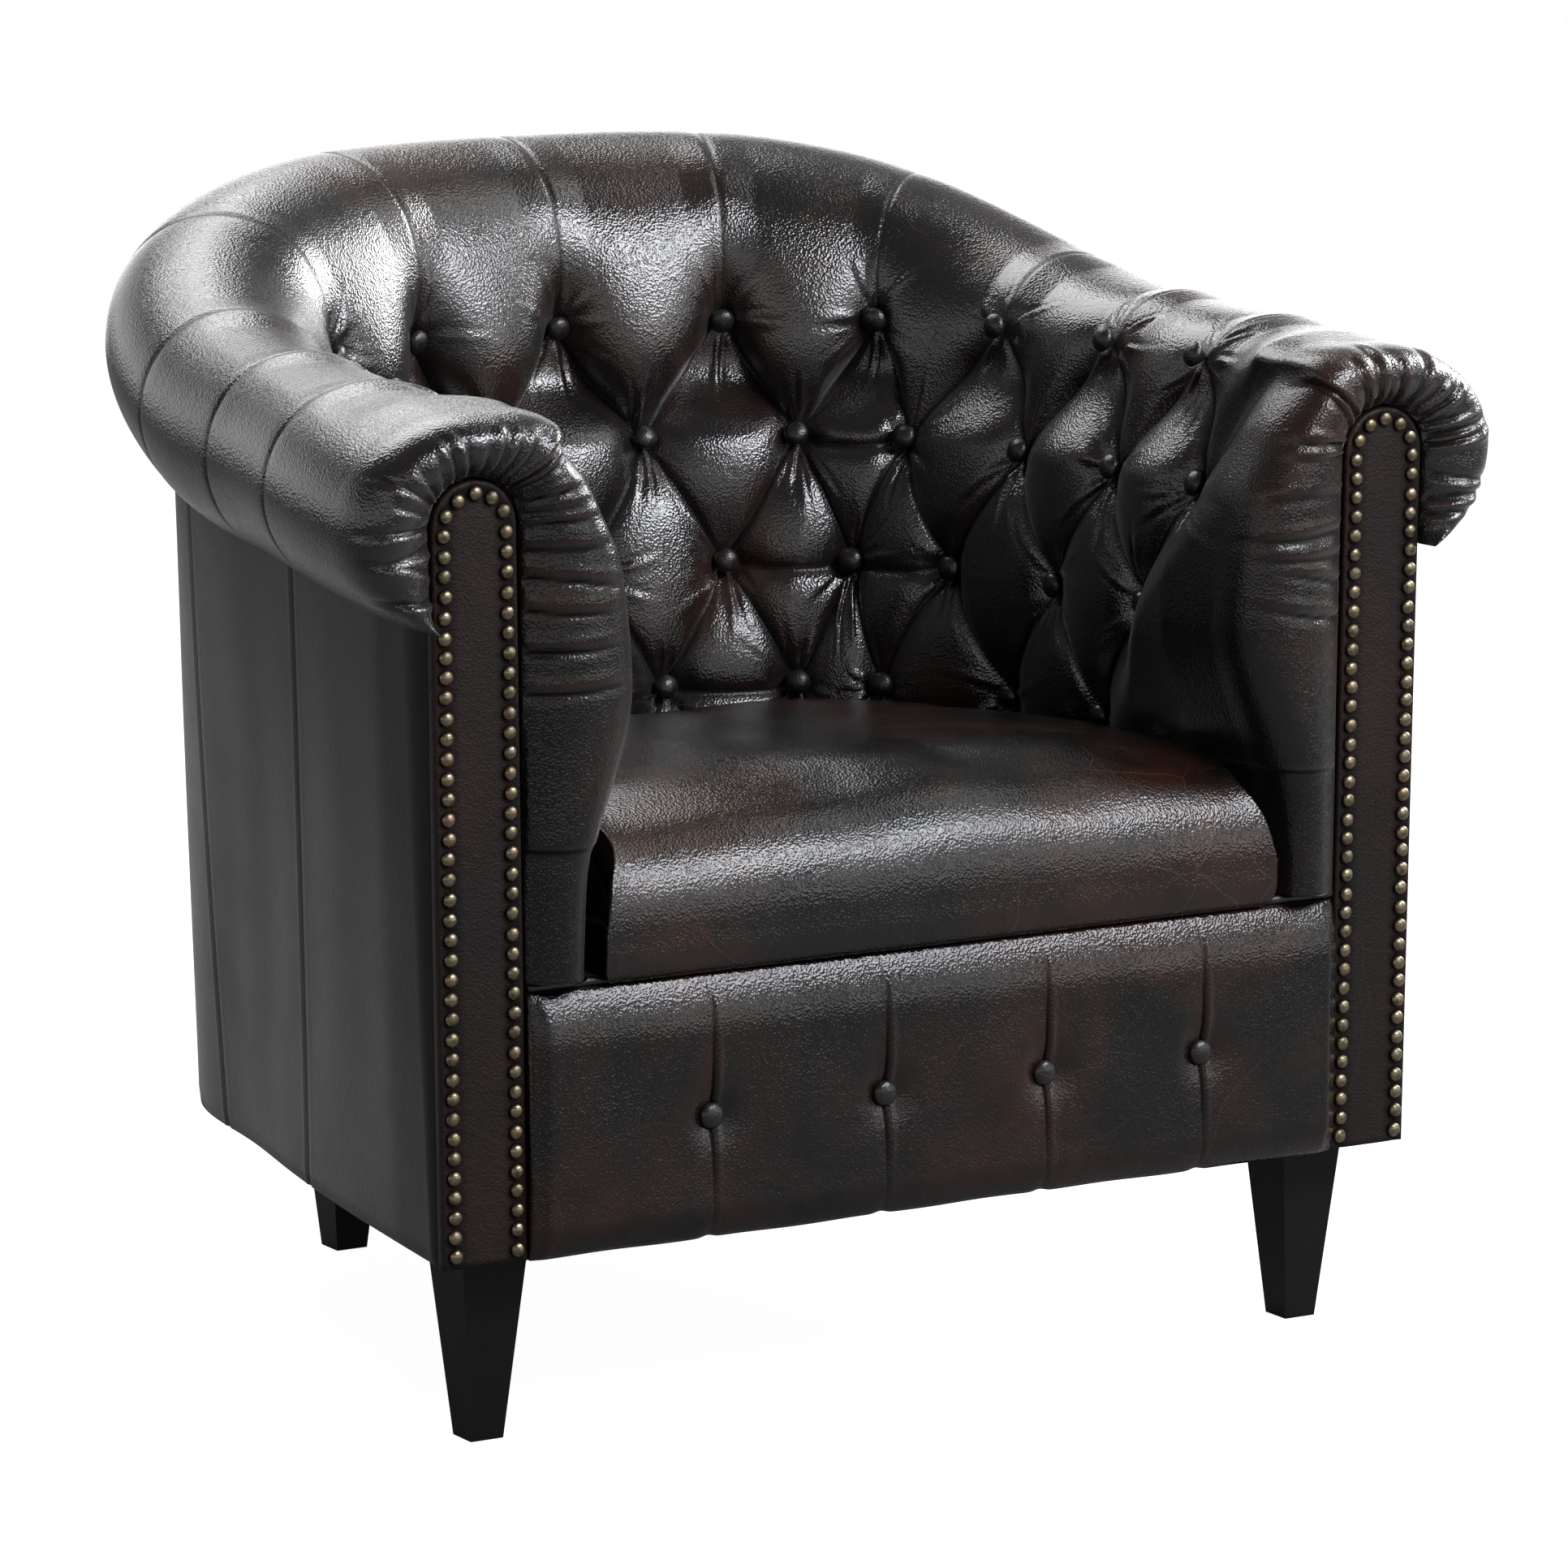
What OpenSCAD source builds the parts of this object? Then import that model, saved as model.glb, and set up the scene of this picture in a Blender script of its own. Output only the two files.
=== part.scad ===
// Tub club chair: deep-buttoned leather horseshoe back and rolled arms, loose seat
// cushion, buttoned front border, nailed arm facings and four tapered wooden legs.
// Front is -Y, up is +Z. The origin is the middle of the outline on the floor.

/* [Overall] */
// Width over the two arm rolls at the front
overall_w = 842; // [780:1:900]
// Depth from the arm fronts to the back of the roll
overall_d = 660; // [610:1:710]
// Height of the back roll
back_h = 754; // [720:1:790]
// Height of the arm rolls at the front
arm_h = 650; // [630:1:670]
// Height of the underside of the upholstery above the floor
leg_h = 122.7; // [100:0.1:150]
// Height of the firm seat deck
seat_h = 290; // [275:1:305]

/* [Roll] */
// Diameter of the roll across the back
roll_back_d = 158; // [144:1:168]
// Diameter of the roll along the arms
roll_arm_d = 131; // [122:1:140]
// Width of the roll at the arm fronts
roll_front_w = 164; // [150:1:172]
// Height of the roll at the arm fronts
roll_front_h = 136; // [130:1:142]
// Depth of the stitched grooves across the roll
seam_d = 2.4; // [1:0.1:4]

/* [Tufting] */
// Drop from the top of the arm rolls to the top row of buttons
row_drop = 18; // [10:1:28]
// Distance between rows of buttons
row_pitch = 82; // [78:1:85]
// Depth of the back padding at the seat, from the roll's line to the pits
back_pad_d = 138; // [126:1:146]
// Depth of the arm padding, from the roll's line to the pits
arm_pad_d = 80; // [74:1:84]
// Rise of a diamond above its buttons
puff_d = 22; // [10:1:24]
// Rise of the flutes beside the top row of buttons
flute_d = 13; // [6:1:15]
// Diameter of a covered button
button_d = 17; // [14:0.5:18]
// Height of a button's dome
button_h = 4.5; // [3:0.1:6]

/* [Arm fronts] */
// Width of the nailed facing
facing_w = 59.5; // [54:0.5:62]
// Drop from the top of the arm rolls to the top of the facing's arch
facing_drop = 40; // [34:1:50]
// Thickness of the facing
facing_t = 10; // [8:0.5:12]
// Distance that the facing leans out towards its top
facing_lean = 6; // [0:0.5:8]
// Distance that the gathered leather stands in front of the facing
nose_d = 15; // [10:0.5:18]
// Diameter of a nail head
nail_d = 9.4; // [8:0.1:11]
// Height of a nail head
nail_h = 3; // [2:0.1:4]
// Distance from a nail's centre to the facing's edge
nail_inset = 8; // [6:0.1:10]
// Distance between nails
nail_pitch = 12.4; // [11.5:0.1:16]

/* [Shell and frame] */
// Distance that the arm rolls overhang the underside, at each side
side_overhang = 61.5; // [58:0.5:71]
// Distance that the back roll overhangs the underside
back_overhang = 42; // [33:1:55]
// Thickness of the outer panels
panel_t = 4; // [3:0.1:5]
// Thickness of the frame's rails
rail_t = 24; // [20:1:25]
// Height that the springs and the firm deck take over the rails
deck_room = 28.3; // [26:0.1:45]
// Thickness of the front boards
board_t = 24; // [18:1:26]
// Width of an upright post
post_w = 30; // [24:1:40]
// Thickness of the bent inner boards
lining_t = 3.5; // [2.5:0.1:4]

/* [Seat] */
// Room between the seat cushion and the deepest tufts of an arm
cushion_side_room = 21; // [20:1:30]
// Room between the seat cushion and the deepest tufts of the back
cushion_back_room = 22; // [20:1:45]
// Thickness of the cushion at its front
cushion_front_t = 134; // [120:1:145]
// Thickness of the cushion at its back
cushion_back_t = 88; // [76:1:100]
// Rise of the crown over the edges of the cushion
crown_h = 26; // [10:1:32]
// Diameter of the spring wire
wire_d = 3.6; // [3:0.1:4]

/* [Front border] */
// Distance that the border's padding stands out
border_bulge = 11; // [6:0.5:13]
// Depth of the border's sewn channels
channel_d = 5; // [2:0.5:7]
// Diameter of the piping
piping_d = 5.6; // [4:0.1:6]
// Height of the border's buttons above the underside
border_button_z = 78; // [60:1:100]

/* [Legs] */
// Width of a leg at the top
leg_top_w = 46; // [40:1:52]
// Width of a leg at the foot
leg_foot_w = 23; // [18:1:30]
// Distance from the side of the chair's underside to a front leg's centre
front_leg_x = 52; // [49:1:60]
// Distance from the facings to the front legs' centres
front_leg_y = 53; // [51:1:60]
// Distance from the side of the chair's underside to a rear leg's centre
rear_leg_x = 217; // [205:1:230]
// Distance from the rearmost point of the underside to the rear legs' centres
rear_leg_y = 62; // [61:1:72]
// Diameter of a leg's hanger bolt
bolt_d = 8; // [6:0.5:10]

/* [Hidden] */
$fn = 48;

// Clearance between neighbours, and the overrun of a cut past a face
gap = 0.3;
overrun = 2;
leather = [0.17, 0.10, 0.08];
shell_leather = [0.20, 0.18, 0.17];
timber = [0.78, 0.62, 0.42];
brass_tone = [0.55, 0.45, 0.28];

// The roll's line has 13 seams, numbered from -6 at the left front to 6 at the right.
// Each list below pulls a smooth curve at the seams 0 to 6, as a share of its size.
line_x_shares = [0, 0.42, 0.84, 0.955, 0.98, 1.005, 1];
line_y_shares = [1.01, 0.98, 0.84, 0.58, 0.38, 0.19, 0];
line_z_shares = [0.995, 1.01, 0.82, 0.25, 0.18, 0.10, 0];
base_x_shares = [0, 0.41, 0.78, 0.81, 0.87, 0.94, 1];
base_y_shares = [1, 1, 0.89, 0.65, 0.51, 0.28, 0];
back_depth_shares = [0, 0.62, 0.75, 0.88, 1];
arm_depth_shares = [0, 0.90, 1, 0.98, 0.94];
last_seam = 6;
split_seam = 3;
panel_seam = 2.8;
side_seam = 4.42;

// Places of the facing plane and of the roll's line
front_y = -overall_d / 2 + nose_d;
rim_y = 25;
line_half_w = (overall_w - roll_front_w) / 2;
facet_loss = 1.4;
line_d = overall_d - nose_d + facet_loss - roll_back_d / 2;
back_line_z = back_h - roll_back_d / 2;
arm_line_z = arm_h - roll_front_h / 2;
row_h = arm_h - row_drop;
facing_h = arm_h - facing_drop;
base_w = overall_w - 2 * side_overhang;
base_d = overall_d - nose_d - back_overhang;
rail_h = seat_h - leg_h - deck_room;

function mix(a, b, t) = a + (b - a) * t;
function clamp01(t) = max(0, min(1, t));
function ease(t) = let (c = clamp01(t)) c * c * (3 - 2 * c);
function spline(a, b, c, d, t) =
    (2 * b + (c - a) * t + (2 * a - 5 * b + 4 * c - d) * t * t + (3 * b - a - 3 * c + d) * t * t * t) / 2;
function smooth(a, b, c, d, t) =
    let (s = 1 - t)
    (a * s * s * s + b * (4 - 6 * t * t + 3 * t * t * t) + c * (4 - 6 * s * s + 3 * s * s * s)
        + d * t * t * t) / 6;
function knot(list, k, odd) =
    k > last_seam ? 2 * list[last_seam] - list[last_seam - 1] :
    k < 0 ? (odd ? -list[-k] : list[-k]) : list[k];
function lane(list, u, odd = false) =
    let (i = min(floor(abs(u)), last_seam - 1))
    let (v = smooth(knot(list, i - 1, odd), knot(list, i, odd), knot(list, i + 1, odd),
                    knot(list, i + 2, odd), abs(u) - i))
    odd && u < 0 ? -v : v;
function between(list, t) =
    let (i = max(0, min(floor(t), len(list) - 2))) mix(list[i], list[i + 1], clamp01(t - i));

// Plan of the roll's line and of the underside of the outer panels
function line_at(u) = [
    line_half_w * lane(line_x_shares, u, true),
    front_y + rim_y + (line_d - rim_y) * lane(line_y_shares, u)
];
function base_at(u) = [
    base_w / 2 * lane(base_x_shares, u, true),
    front_y + base_d * lane(base_y_shares, u)
];
step_u = 0.02;
step_q = 0.2;
function unit(v) = v / norm(v);
function turned(v) = [-v[1], v[0]];
function line_out(u) =
    unit(turned(line_at(min(u + step_u, last_seam)) - line_at(max(u - step_u, -last_seam))));
function base_out(u) =
    unit(turned(base_at(min(u + step_u, last_seam)) - base_at(max(u - step_u, -last_seam))));
function line_z(u) = mix(arm_line_z, back_line_z, lane(line_z_shares, u));
function roll_rn(u) =
    let (a = abs(u))
    a < split_seam ? mix(roll_back_d, roll_arm_d, ease((a - 1) / (split_seam - 1))) / 2 :
    mix(roll_arm_d, roll_front_w, ease((a - 4) / 2)) / 2;
function roll_rz(u) =
    let (a = abs(u))
    a < split_seam ? mix(roll_back_d, roll_arm_d, ease((a - 1) / (split_seam - 1))) / 2 :
    mix(roll_arm_d, roll_front_h, ease((a - 4) / 2)) / 2;

// The facing is a leaning arch. Across the roll's line, n is positive outwards.
facing_r = facing_w / 2;
arch_z = facing_h - facing_r;
facing_foot_x = base_w / 2 - facing_r;
facing_top_x = facing_foot_x + facing_lean;
arch_n = facing_top_x - line_half_w;
function arch_centre(z) = arch_n - facing_lean * clamp01((arch_z - z) / (arch_z - leg_h));
// The hollow in the padding and the roll, which the frame fills
hollow_n = 48;
lip_t = 2.5;
hollow_r = facing_r + 1.4;
panel_n = arch_n + facing_r - gap;
lip_n = panel_n + gap + lip_t;
board_rise = 3;
hollow_rise = facing_h - arm_line_z + board_rise;

// Least padding over the inner boards
pad_least_t = 6;

// Rows of buttons: row 0 is the top one. Lower rows drift back along the arms.
row_drift = 0.05;
drift_end = 5.5;
function drifted(p, q) =
    let (a = abs(p), k = 1 - row_drift * clamp01(q))
    (p < 0 ? -1 : 1) * (a <= drift_end ? a * k :
        mix(drift_end * k, last_seam, (a - drift_end) / (last_seam - drift_end)));
pad_foot_z = seat_h + gap;
foot_q = (row_h - pad_foot_z) / row_pitch;
function row_angle(u) = asin(max(-0.9, min(0.9, (row_h - line_z(u)) / roll_rz(u))));
function end_angle(u) = 180 + acos(lip_n / roll_rn(u));
function pit_n(u, q) =
    let (arm = ease((abs(u) - 2) / 1.5))
    let (n0 = max(roll_rn(u) * cos(row_angle(u)), hollow_n + pad_least_t))
    let (t = min(q, 4))
    let (at_back = back_pad_d * between(back_depth_shares, t))
    let (deep = mix(at_back, arm_pad_d * between(arm_depth_shares, t), arm))
    q < 1 ? mix(n0, deep, ease(q)) : deep;
function off_whole(t) = abs(t - round(t));
// Height of the leather over the pits: 0 at a button, 1 in the middle of a diamond
front_fade = 5.52;
fade_slant = 0.48;
function quilt(p, q) =
    let (a = p + max(q, 0) / 2, b = p - max(q, 0) / 2)
    let (d2 = pow(off_whole(a), 2) + pow(off_whole(b), 2) + pow(min(q, 0) / 2, 2))
    let (h = 0.38 * (1 - exp(-d2 * 14)) + 0.62 * pow(abs(sin(180 * a) * sin(180 * b)), 0.5))
    let (plain = ease((abs(p) - front_fade + fade_slant * max(q - 1, 0)) * 2))
    mix(h, 0.9, plain);
// Diamonds rise less where the buttons crowd together in the corners of the back
free_pitch = 95;
function crowd(u, q) =
    min(1, norm(line_off(u + 0.5, -pit_n(u, q)) - line_off(u - 0.5, -pit_n(u, q))) / free_pitch);
function quilt_rise(u, q) =
    mix(flute_d, puff_d * crowd(u, q), ease(q)) * mix(1, 0.72, ease((q - 2.4) / 1.2));

// One point of the leather, in the plane across the line: [n, z]
face_count = 12;
roll_count = 11;
function face_q(j) = j == 0 ? foot_q : (face_count - j) / 3;
function face_point(p, j) =
    let (q = face_q(j), u = drifted(p, q), rise = quilt_rise(u, q) * quilt(p, q))
    let (lift = row_angle(u) * (1 - clamp01(q)))
    [-pit_n(u, q) - rise * cos(lift), row_h - q * row_pitch + rise * sin(lift)];
function roll_point(p, j) =
    let (u = p, t = j / roll_count, a1 = row_angle(u), a = mix(a1, end_angle(u), t))
    let (fade = 1 - ease((a - a1) / (95 - a1)))
    let (rise = flute_d * quilt(p, -t * 3) * fade - seam_d * exp(-pow(off_whole(p) * 14, 2)) * (1 - fade))
    let (tuck = clamp01((1 - t) * 5))
    [-(roll_rn(u) + rise * tuck) * cos(a), line_z(u) + (roll_rz(u) + rise * tuck) * sin(a)];
outer_count = face_count + roll_count + 1;
function leather_point(p, j) = j <= face_count ? face_point(p, j) : roll_point(p, j - face_count);
function leather_u(p, j) = j <= face_count ? drifted(p, face_q(j)) : p;

// The hollow's outline, from the foot of its inner side over the arch to the lip
arc_count = 6;
hollow_count = arc_count + 3;
function hollow_top(u) = line_z(u) + hollow_rise;
function hollow_point(u, j) =
    let (zc = hollow_top(u) - hollow_r)
    j == 0 ? [-hollow_n, pad_foot_z] :
    j == hollow_count - 1 ? [panel_n + gap, line_z(u) + roll_rz(u) * sin(end_angle(u))] :
    let (a = (j - 1) * 180 / arc_count)
    [arch_n - (j == 1 ? hollow_n + arch_n : hollow_r) * cos(a), zc + hollow_r * sin(a)];
function place(u, nz) = let (c = line_at(u) + line_out(u) * nz[0]) [c[0], c[1], nz[1]];
function lifted(u, nz, y) = let (c = line_at(u) + line_out(u) * nz[0]) [c[0], front_y + y, nz[1]];

// The gathered rim turns the leather in to the facing's edge
rim_turn = 145;
rim_count = 5;
rim_reach = rim_y + nose_d;
rim_rest = 0.93;
rim_skin = 0.8;
arch_room = 1;
facing_seat_y = 3.2;
function facing_edge(nz, spare) =
    let (c = arch_centre(nz[1]), r = facing_r + spare)
    nz[1] <= arch_z ? [c + (nz[0] < c ? -r : r), nz[1]] :
    let (v = unit(nz - [c, arch_z])) [c, arch_z] + v * (r + arch_room);
function raised(nz, j) = j == 0 ? [nz[0], pad_foot_z + piping_d + gap] : nz;
function rim_leather(side, j, k) =
    let (a = rim_turn * k / rim_count, nz = raised(leather_point(side * last_seam, j), j))
    let (g = rim_rest * (1 - cos(a)) / (1 - cos(rim_turn)))
    lifted(side * last_seam, mix(nz, facing_edge(nz, gap), g), rim_y - rim_reach * sin(a));
function rim_hollow(side, j, k) =
    let (t = k / rim_count, nz = raised(hollow_point(last_seam, j), j))
    lifted(side * last_seam, mix(nz, facing_edge(nz, gap + rim_skin), t), mix(rim_y, facing_seat_y, t));

ring_count = outer_count + hollow_count;
function pad_ring(p) = concat(
    [for (j = [0:outer_count - 1]) place(leather_u(p, j), leather_point(p, j))],
    [for (j = [hollow_count - 1:-1:0]) place(leather_u(p, j == 0 ? 0 : face_count + 1), hollow_point(p, j))]
);
function rim_ring(side, k) = concat(
    [for (j = [0:outer_count - 1]) rim_leather(side, j, k)],
    [for (j = [hollow_count - 1:-1:0]) rim_hollow(side, j, k)]
);
// A quad is split along the fold that crosses it
function fold_split(i, j) = j < face_count && (i + face_count - j) % 6 == 0;
function quad(a, b, c, d, other) = other ? [[a, c, b], [a, d, c]] : [[a, d, b], [b, d, c]];
// Each point of the leather's outline is joined to one that it sees on the hollow
cap_marks = [6, 11, 12, 13, 15, 17, 18, 22];
function cap_k(j) = len([for (m = cap_marks) if (j > m) m]);
function cap(first, flip) = [
    for (j = [0:outer_count - 2])
    let (k0 = cap_k(j), k1 = cap_k(j + 1))
    let (back0 = ring_count - 1 - k0, back1 = ring_count - 1 - k1)
    for (f = concat([[j, j + 1, back0]], k1 > k0 ? [[j + 1, back1, back0]] : []))
    flip ? [first + f[2], first + f[1], first + f[0]] : [first + f[0], first + f[1], first + f[2]]
];
module loft(rings, first_index) {
    n = len(rings);
    polyhedron(
        points = [for (r = rings) for (v = r) v],
        faces = concat(
            [for (i = [0:n - 2]) for (j = [0:ring_count - 1])
                let (a = i * ring_count + j, b = i * ring_count + (j + 1) % ring_count)
                for (f = quad(a, a + ring_count, b + ring_count, b, fold_split(i + first_index, j))) f],
            cap(0, true),
            cap((n - 1) * ring_count, false)
        ),
        convexity = 10
    );
}
pad_steps = 6;
pad_gap_share = 0.0025;
seam_gap = unit(line_at(split_seam + step_u) - line_at(split_seam - step_u)) * gap;
function pad_rings(p0, p1) = [for (p = steps(p0, p1, (p1 - p0) * pad_steps)) pad_ring(p)];
function arm_rings() = concat(
    [[for (v = pad_ring(split_seam)) v + [each seam_gap, 0]]],
    pad_rings(split_seam + 1 / pad_steps, last_seam),
    [for (k = [1:rim_count]) rim_ring(1, k)]
);

module back_pad() {
    color(leather) loft(pad_rings(-split_seam, split_seam), 0);
}
module right_arm_pad() {
    color(leather) loft(arm_rings(), 0);
}
module left_arm_pad() {
    mirror([1, 0, 0]) right_arm_pad();
}

// Buttons: a tapered back that sits in a pit, under a low dome
quilt_taper_share = 1;
border_taper_share = 0.5;
button_room = 2;
button_root_share = 0.25;
dome_end = 76;
module dome(d, h, steps) {
    for (i = [0:steps - 1])
        let (a = dome_end * i / steps, b = dome_end * (i + 1) / steps, full = h / sin(dome_end))
        translate([0, 0, full * sin(a)])
            cylinder(h = full * (sin(b) - sin(a)), d1 = d * cos(a), d2 = d * cos(b));
}
module button(taper_share) {
    root_h = button_d / 2 * taper_share;
    cylinder(h = root_h, d1 = button_d * button_root_share, d2 = button_d);
    translate([0, 0, root_h]) dome(button_d, button_h, 3);
}
row_first_shares = [0, 0.5, 0, 0.5];
row_last_shares = [5, 5.5, 5, 4.5];
button_tilt_share = 0.4;
module quilt_button(p, q) {
    u = drifted(p, q);
    ahead = line_off(u + step_u, -pit_n(u + step_u, q));
    out = turned(ahead - line_off(u - step_u, -pit_n(u - step_u, q)));
    fall = pit_n(u, q + step_q) - pit_n(u, q - step_q);
    tilt = q < 1 ? row_angle(u) * button_tilt_share : atan(fall / (2 * step_q * row_pitch));
    translate(place(u, [-pit_n(u, q), row_h - q * row_pitch]))
        rotate([0, 0, atan2(-out[1], -out[0])])
            rotate([0, 90 - tilt, 0])
                translate([0, 0, button_room])
                    button(quilt_taper_share);
}
button_places = [
    for (q = [0:len(row_first_shares) - 1])
    for (p = [row_first_shares[q]:1:row_last_shares[q]])
    for (side = p > 0 ? [-1, 1] : [1]) [side * p, q]
];
module back_buttons() {
    color(leather) for (at = button_places) quilt_button(at[0], at[1]);
}

// Frame: rails that follow the underside of the panels, and boards behind the facings
rail_room = 2;
rail_top = leg_h + rail_h;
rail_split = 2.6;
rail_step = 0.26;
board_y = front_y + facing_t + gap;
board_back = board_y + board_t;
front_rail_back = board_y + rail_t;
opening_half_w = base_w / 2 - facing_w;
board_room = 5;
far = overall_w;
function steps(u0, u1, n) = [for (i = [0:n]) mix(u0, u1, i / n)];
function base_off(u, n) = base_at(u) + base_out(u) * n;
function line_off(u, n) = line_at(u) + line_out(u) * n;
function reversed(list) = [for (i = [len(list) - 1:-1:0]) list[i]];
// Seam number at which a plan curve reaches a given depth or width
function base_u_y(y, lo = 3, hi = 6, n = 20) =
    let (m = (lo + hi) / 2, low = base_at(m)[1] < y)
    n == 0 ? m : base_u_y(y, low ? lo : m, low ? m : hi, n - 1);
function base_u_x(x, lo = 0, hi = 3, n = 20) =
    let (m = (lo + hi) / 2, low = base_at(m)[0] > x)
    n == 0 ? m : base_u_x(x, low ? lo : m, low ? m : hi, n - 1);
function line_u_y(y, lo = 3, hi = 6, n = 20) =
    let (m = (lo + hi) / 2, low = line_at(m)[1] < y)
    n == 0 ? m : line_u_y(y, low ? lo : m, low ? m : hi, n - 1);
// The rails stand inside the panels, clear of them where they lean inwards
function panel_lean(u) = (line_off(u, panel_n) - base_at(u)) * base_out(u);
function rail_off(u, n) =
    let (t = rail_h / (crease_z(u) - leg_h))
    base_off(u, n - panel_t - rail_room - max(0, -panel_lean(u) * t));
module in_front_of(y) {
    translate([-far, y - 2 * far]) square([2 * far, 2 * far]);
}
module rail_band(u0, u1, n0, n1, count) {
    polygon(concat([for (u = steps(u0, u1, count)) rail_off(u, n1)],
        [for (u = reversed(steps(u0, u1, count))) rail_off(u, n0)]));
}
module line_band(u0, u1, n0, n1, count) {
    polygon(concat([for (u = steps(u0, u1, count)) line_off(u, n1)],
        [for (u = reversed(steps(u0, u1, count))) line_off(u, n0)]));
}
module front_rail() {
    color(timber) translate([-opening_half_w + gap, board_y, leg_h])
        cube([2 * (opening_half_w - gap), rail_t, rail_h]);
}
module side_rail_plan(inner) {
    rail_band(rail_split + pad_gap_share, last_seam, inner, 0, 12);
}
module rear_rail_plan(inner) {
    rail_band(-rail_split, rail_split, inner, 0, 2 * rail_split / rail_step);
}
module right_side_rail() {
    color(timber) translate([0, 0, leg_h]) linear_extrude(rail_h)
        difference() {
            side_rail_plan(-rail_t);
            in_front_of(board_back + gap);
        }
}
module left_side_rail() {
    mirror([1, 0, 0]) right_side_rail();
}
module rear_rail() {
    color(timber) translate([0, 0, leg_h]) linear_extrude(rail_h)
        rear_rail_plan(-rail_t);
}

// Blocks inside the rails' corners take the bolts of the legs
block_h = 45;
block_t = 50;
block_half_w = 46;
bolt_r = bolt_d / 2;
bolt_grip = 28;
cloth_t = 1;
front_leg_at = [base_w / 2 - front_leg_x, front_y + front_leg_y];
rear_leg_at = [base_w / 2 - rear_leg_x, front_y + base_d - rear_leg_y];
module block(u0, u1, at) {
    color(timber) difference() {
        translate([0, 0, leg_h]) linear_extrude(block_h) difference() {
            rail_band(u0, u1, -rail_t - block_t, 0, 3);
            side_rail_plan(-rail_t - gap);
            rear_rail_plan(-rail_t - gap);
            in_front_of(front_rail_back + gap);
        }
        translate([at[0], at[1], leg_h - overrun])
            cylinder(h = block_h + 2 * overrun, r = bolt_r + gap);
    }
}
module front_right_block() {
    y = front_leg_at[1];
    block(base_u_y(y + block_half_w), base_u_y(y - block_half_w / 2), front_leg_at);
}
module front_left_block() {
    mirror([1, 0, 0]) front_right_block();
}
module rear_right_block() {
    x = rear_leg_at[0];
    block(base_u_x(x - block_half_w), base_u_x(x + block_half_w), rear_leg_at);
}
module rear_left_block() {
    mirror([1, 0, 0]) rear_right_block();
}

// An arch with straight, leaning sides, drawn in x and z
module arch(r_in, r_out, foot_z) {
    centre = (r_out - r_in) / 2;
    r = (r_out + r_in) / 2;
    translate([facing_top_x + centre, arch_z]) circle(r = r);
    polygon([
        [facing_foot_x - r_in, foot_z], [facing_foot_x + r_out, foot_z],
        [facing_top_x + r_out, arch_z], [facing_top_x - r_in, arch_z]
    ]);
}
module right_front_board() {
    color(timber) translate([0, board_back, 0]) rotate([90, 0, 0]) linear_extrude(board_t)
        arch(facing_r, facing_r - panel_t - board_room, leg_h);
}
module left_front_board() {
    mirror([1, 0, 0]) right_front_board();
}
module right_facing() {
    color(leather) translate([0, front_y + facing_t, 0]) rotate([90, 0, 0]) linear_extrude(facing_t)
        arch(facing_r, facing_r, leg_h);
}
module left_facing() {
    mirror([1, 0, 0]) right_facing();
}

// Nails run up one edge of the facing, round the arch and down the other
nail_line_r = facing_r - nail_inset;
nail_foot_z = leg_h + nail_inset;
nail_side = norm([facing_lean, arch_z - nail_foot_z]);
nail_arc = PI * nail_line_r;
nail_count = round((2 * nail_side + nail_arc) / nail_pitch);
function nail_side_at(t, x) =
    [mix(facing_foot_x, facing_top_x, t) + x, mix(nail_foot_z, arch_z, t)];
function nail_at(s) =
    s < nail_side ? nail_side_at(s / nail_side, -nail_line_r) :
    s > nail_side + nail_arc ? nail_side_at((2 * nail_side + nail_arc - s) / nail_side, nail_line_r) :
    let (a = 180 * (s - nail_side) / nail_arc)
    [facing_top_x - nail_line_r * cos(a), arch_z + nail_line_r * sin(a)];
module right_facing_nails() {
    color(brass_tone)
        for (i = [0:nail_count])
            let (at = nail_at(i * (2 * nail_side + nail_arc) / nail_count))
            translate([at[0], front_y, at[1]]) rotate([90, 0, 0]) dome(nail_d, nail_h, 2);
}
module left_facing_nails() {
    mirror([1, 0, 0]) right_facing_nails();
}

// Outer panels: ruled from the underside up to the roll, and tucked into its hollow
tuck_h = 8;
function crease_z(u) = line_z(u) + roll_rz(u) * sin(end_angle(u));
function panel_ring(low, low_out, high, high_out, z) = [
    [each low, leg_h], [each high, z], [each high, z + tuck_h],
    [each (high - high_out * panel_t), z + tuck_h], [each (high - high_out * panel_t), z],
    [each (low - low_out * panel_t), leg_h]
];
function panel_station(u) =
    panel_ring(base_at(u), base_out(u), line_off(u, panel_n), line_out(u), crease_z(u));
panel_front_y = front_y + facing_t + gap;
function panel_end() =
    let (u = base_u_y(panel_front_y), high = line_off(last_seam, panel_n))
    panel_ring(base_at(u), [1, 0], [high[0], panel_front_y], [1, 0], crease_z(last_seam));
module panel(rings) {
    n = len(rings);
    size = len(rings[0]);
    polyhedron(
        points = [for (r = rings) for (v = r) v],
        faces = concat(
            [for (i = [0:n - 2]) for (j = [0:size - 1])
                let (a = i * size + j, b = i * size + (j + 1) % size)
                for (f = [[a, a + size, b + size], [a, b + size, b]]) f],
            [[0, 1, 4], [0, 4, 5], [1, 2, 3], [1, 3, 4]],
            [for (f = [[0, 4, 1], [0, 5, 4], [1, 3, 2], [1, 4, 3]]) [for (k = f) (n - 1) * size + k]]
        )
    );
}
panel_gap_share = 0.004;
front_panel_end = 5.85;
module outer_back_panel() {
    color(shell_leather) panel([for (u = steps(-panel_seam, panel_seam, 28)) panel_station(u)]);
}
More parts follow.
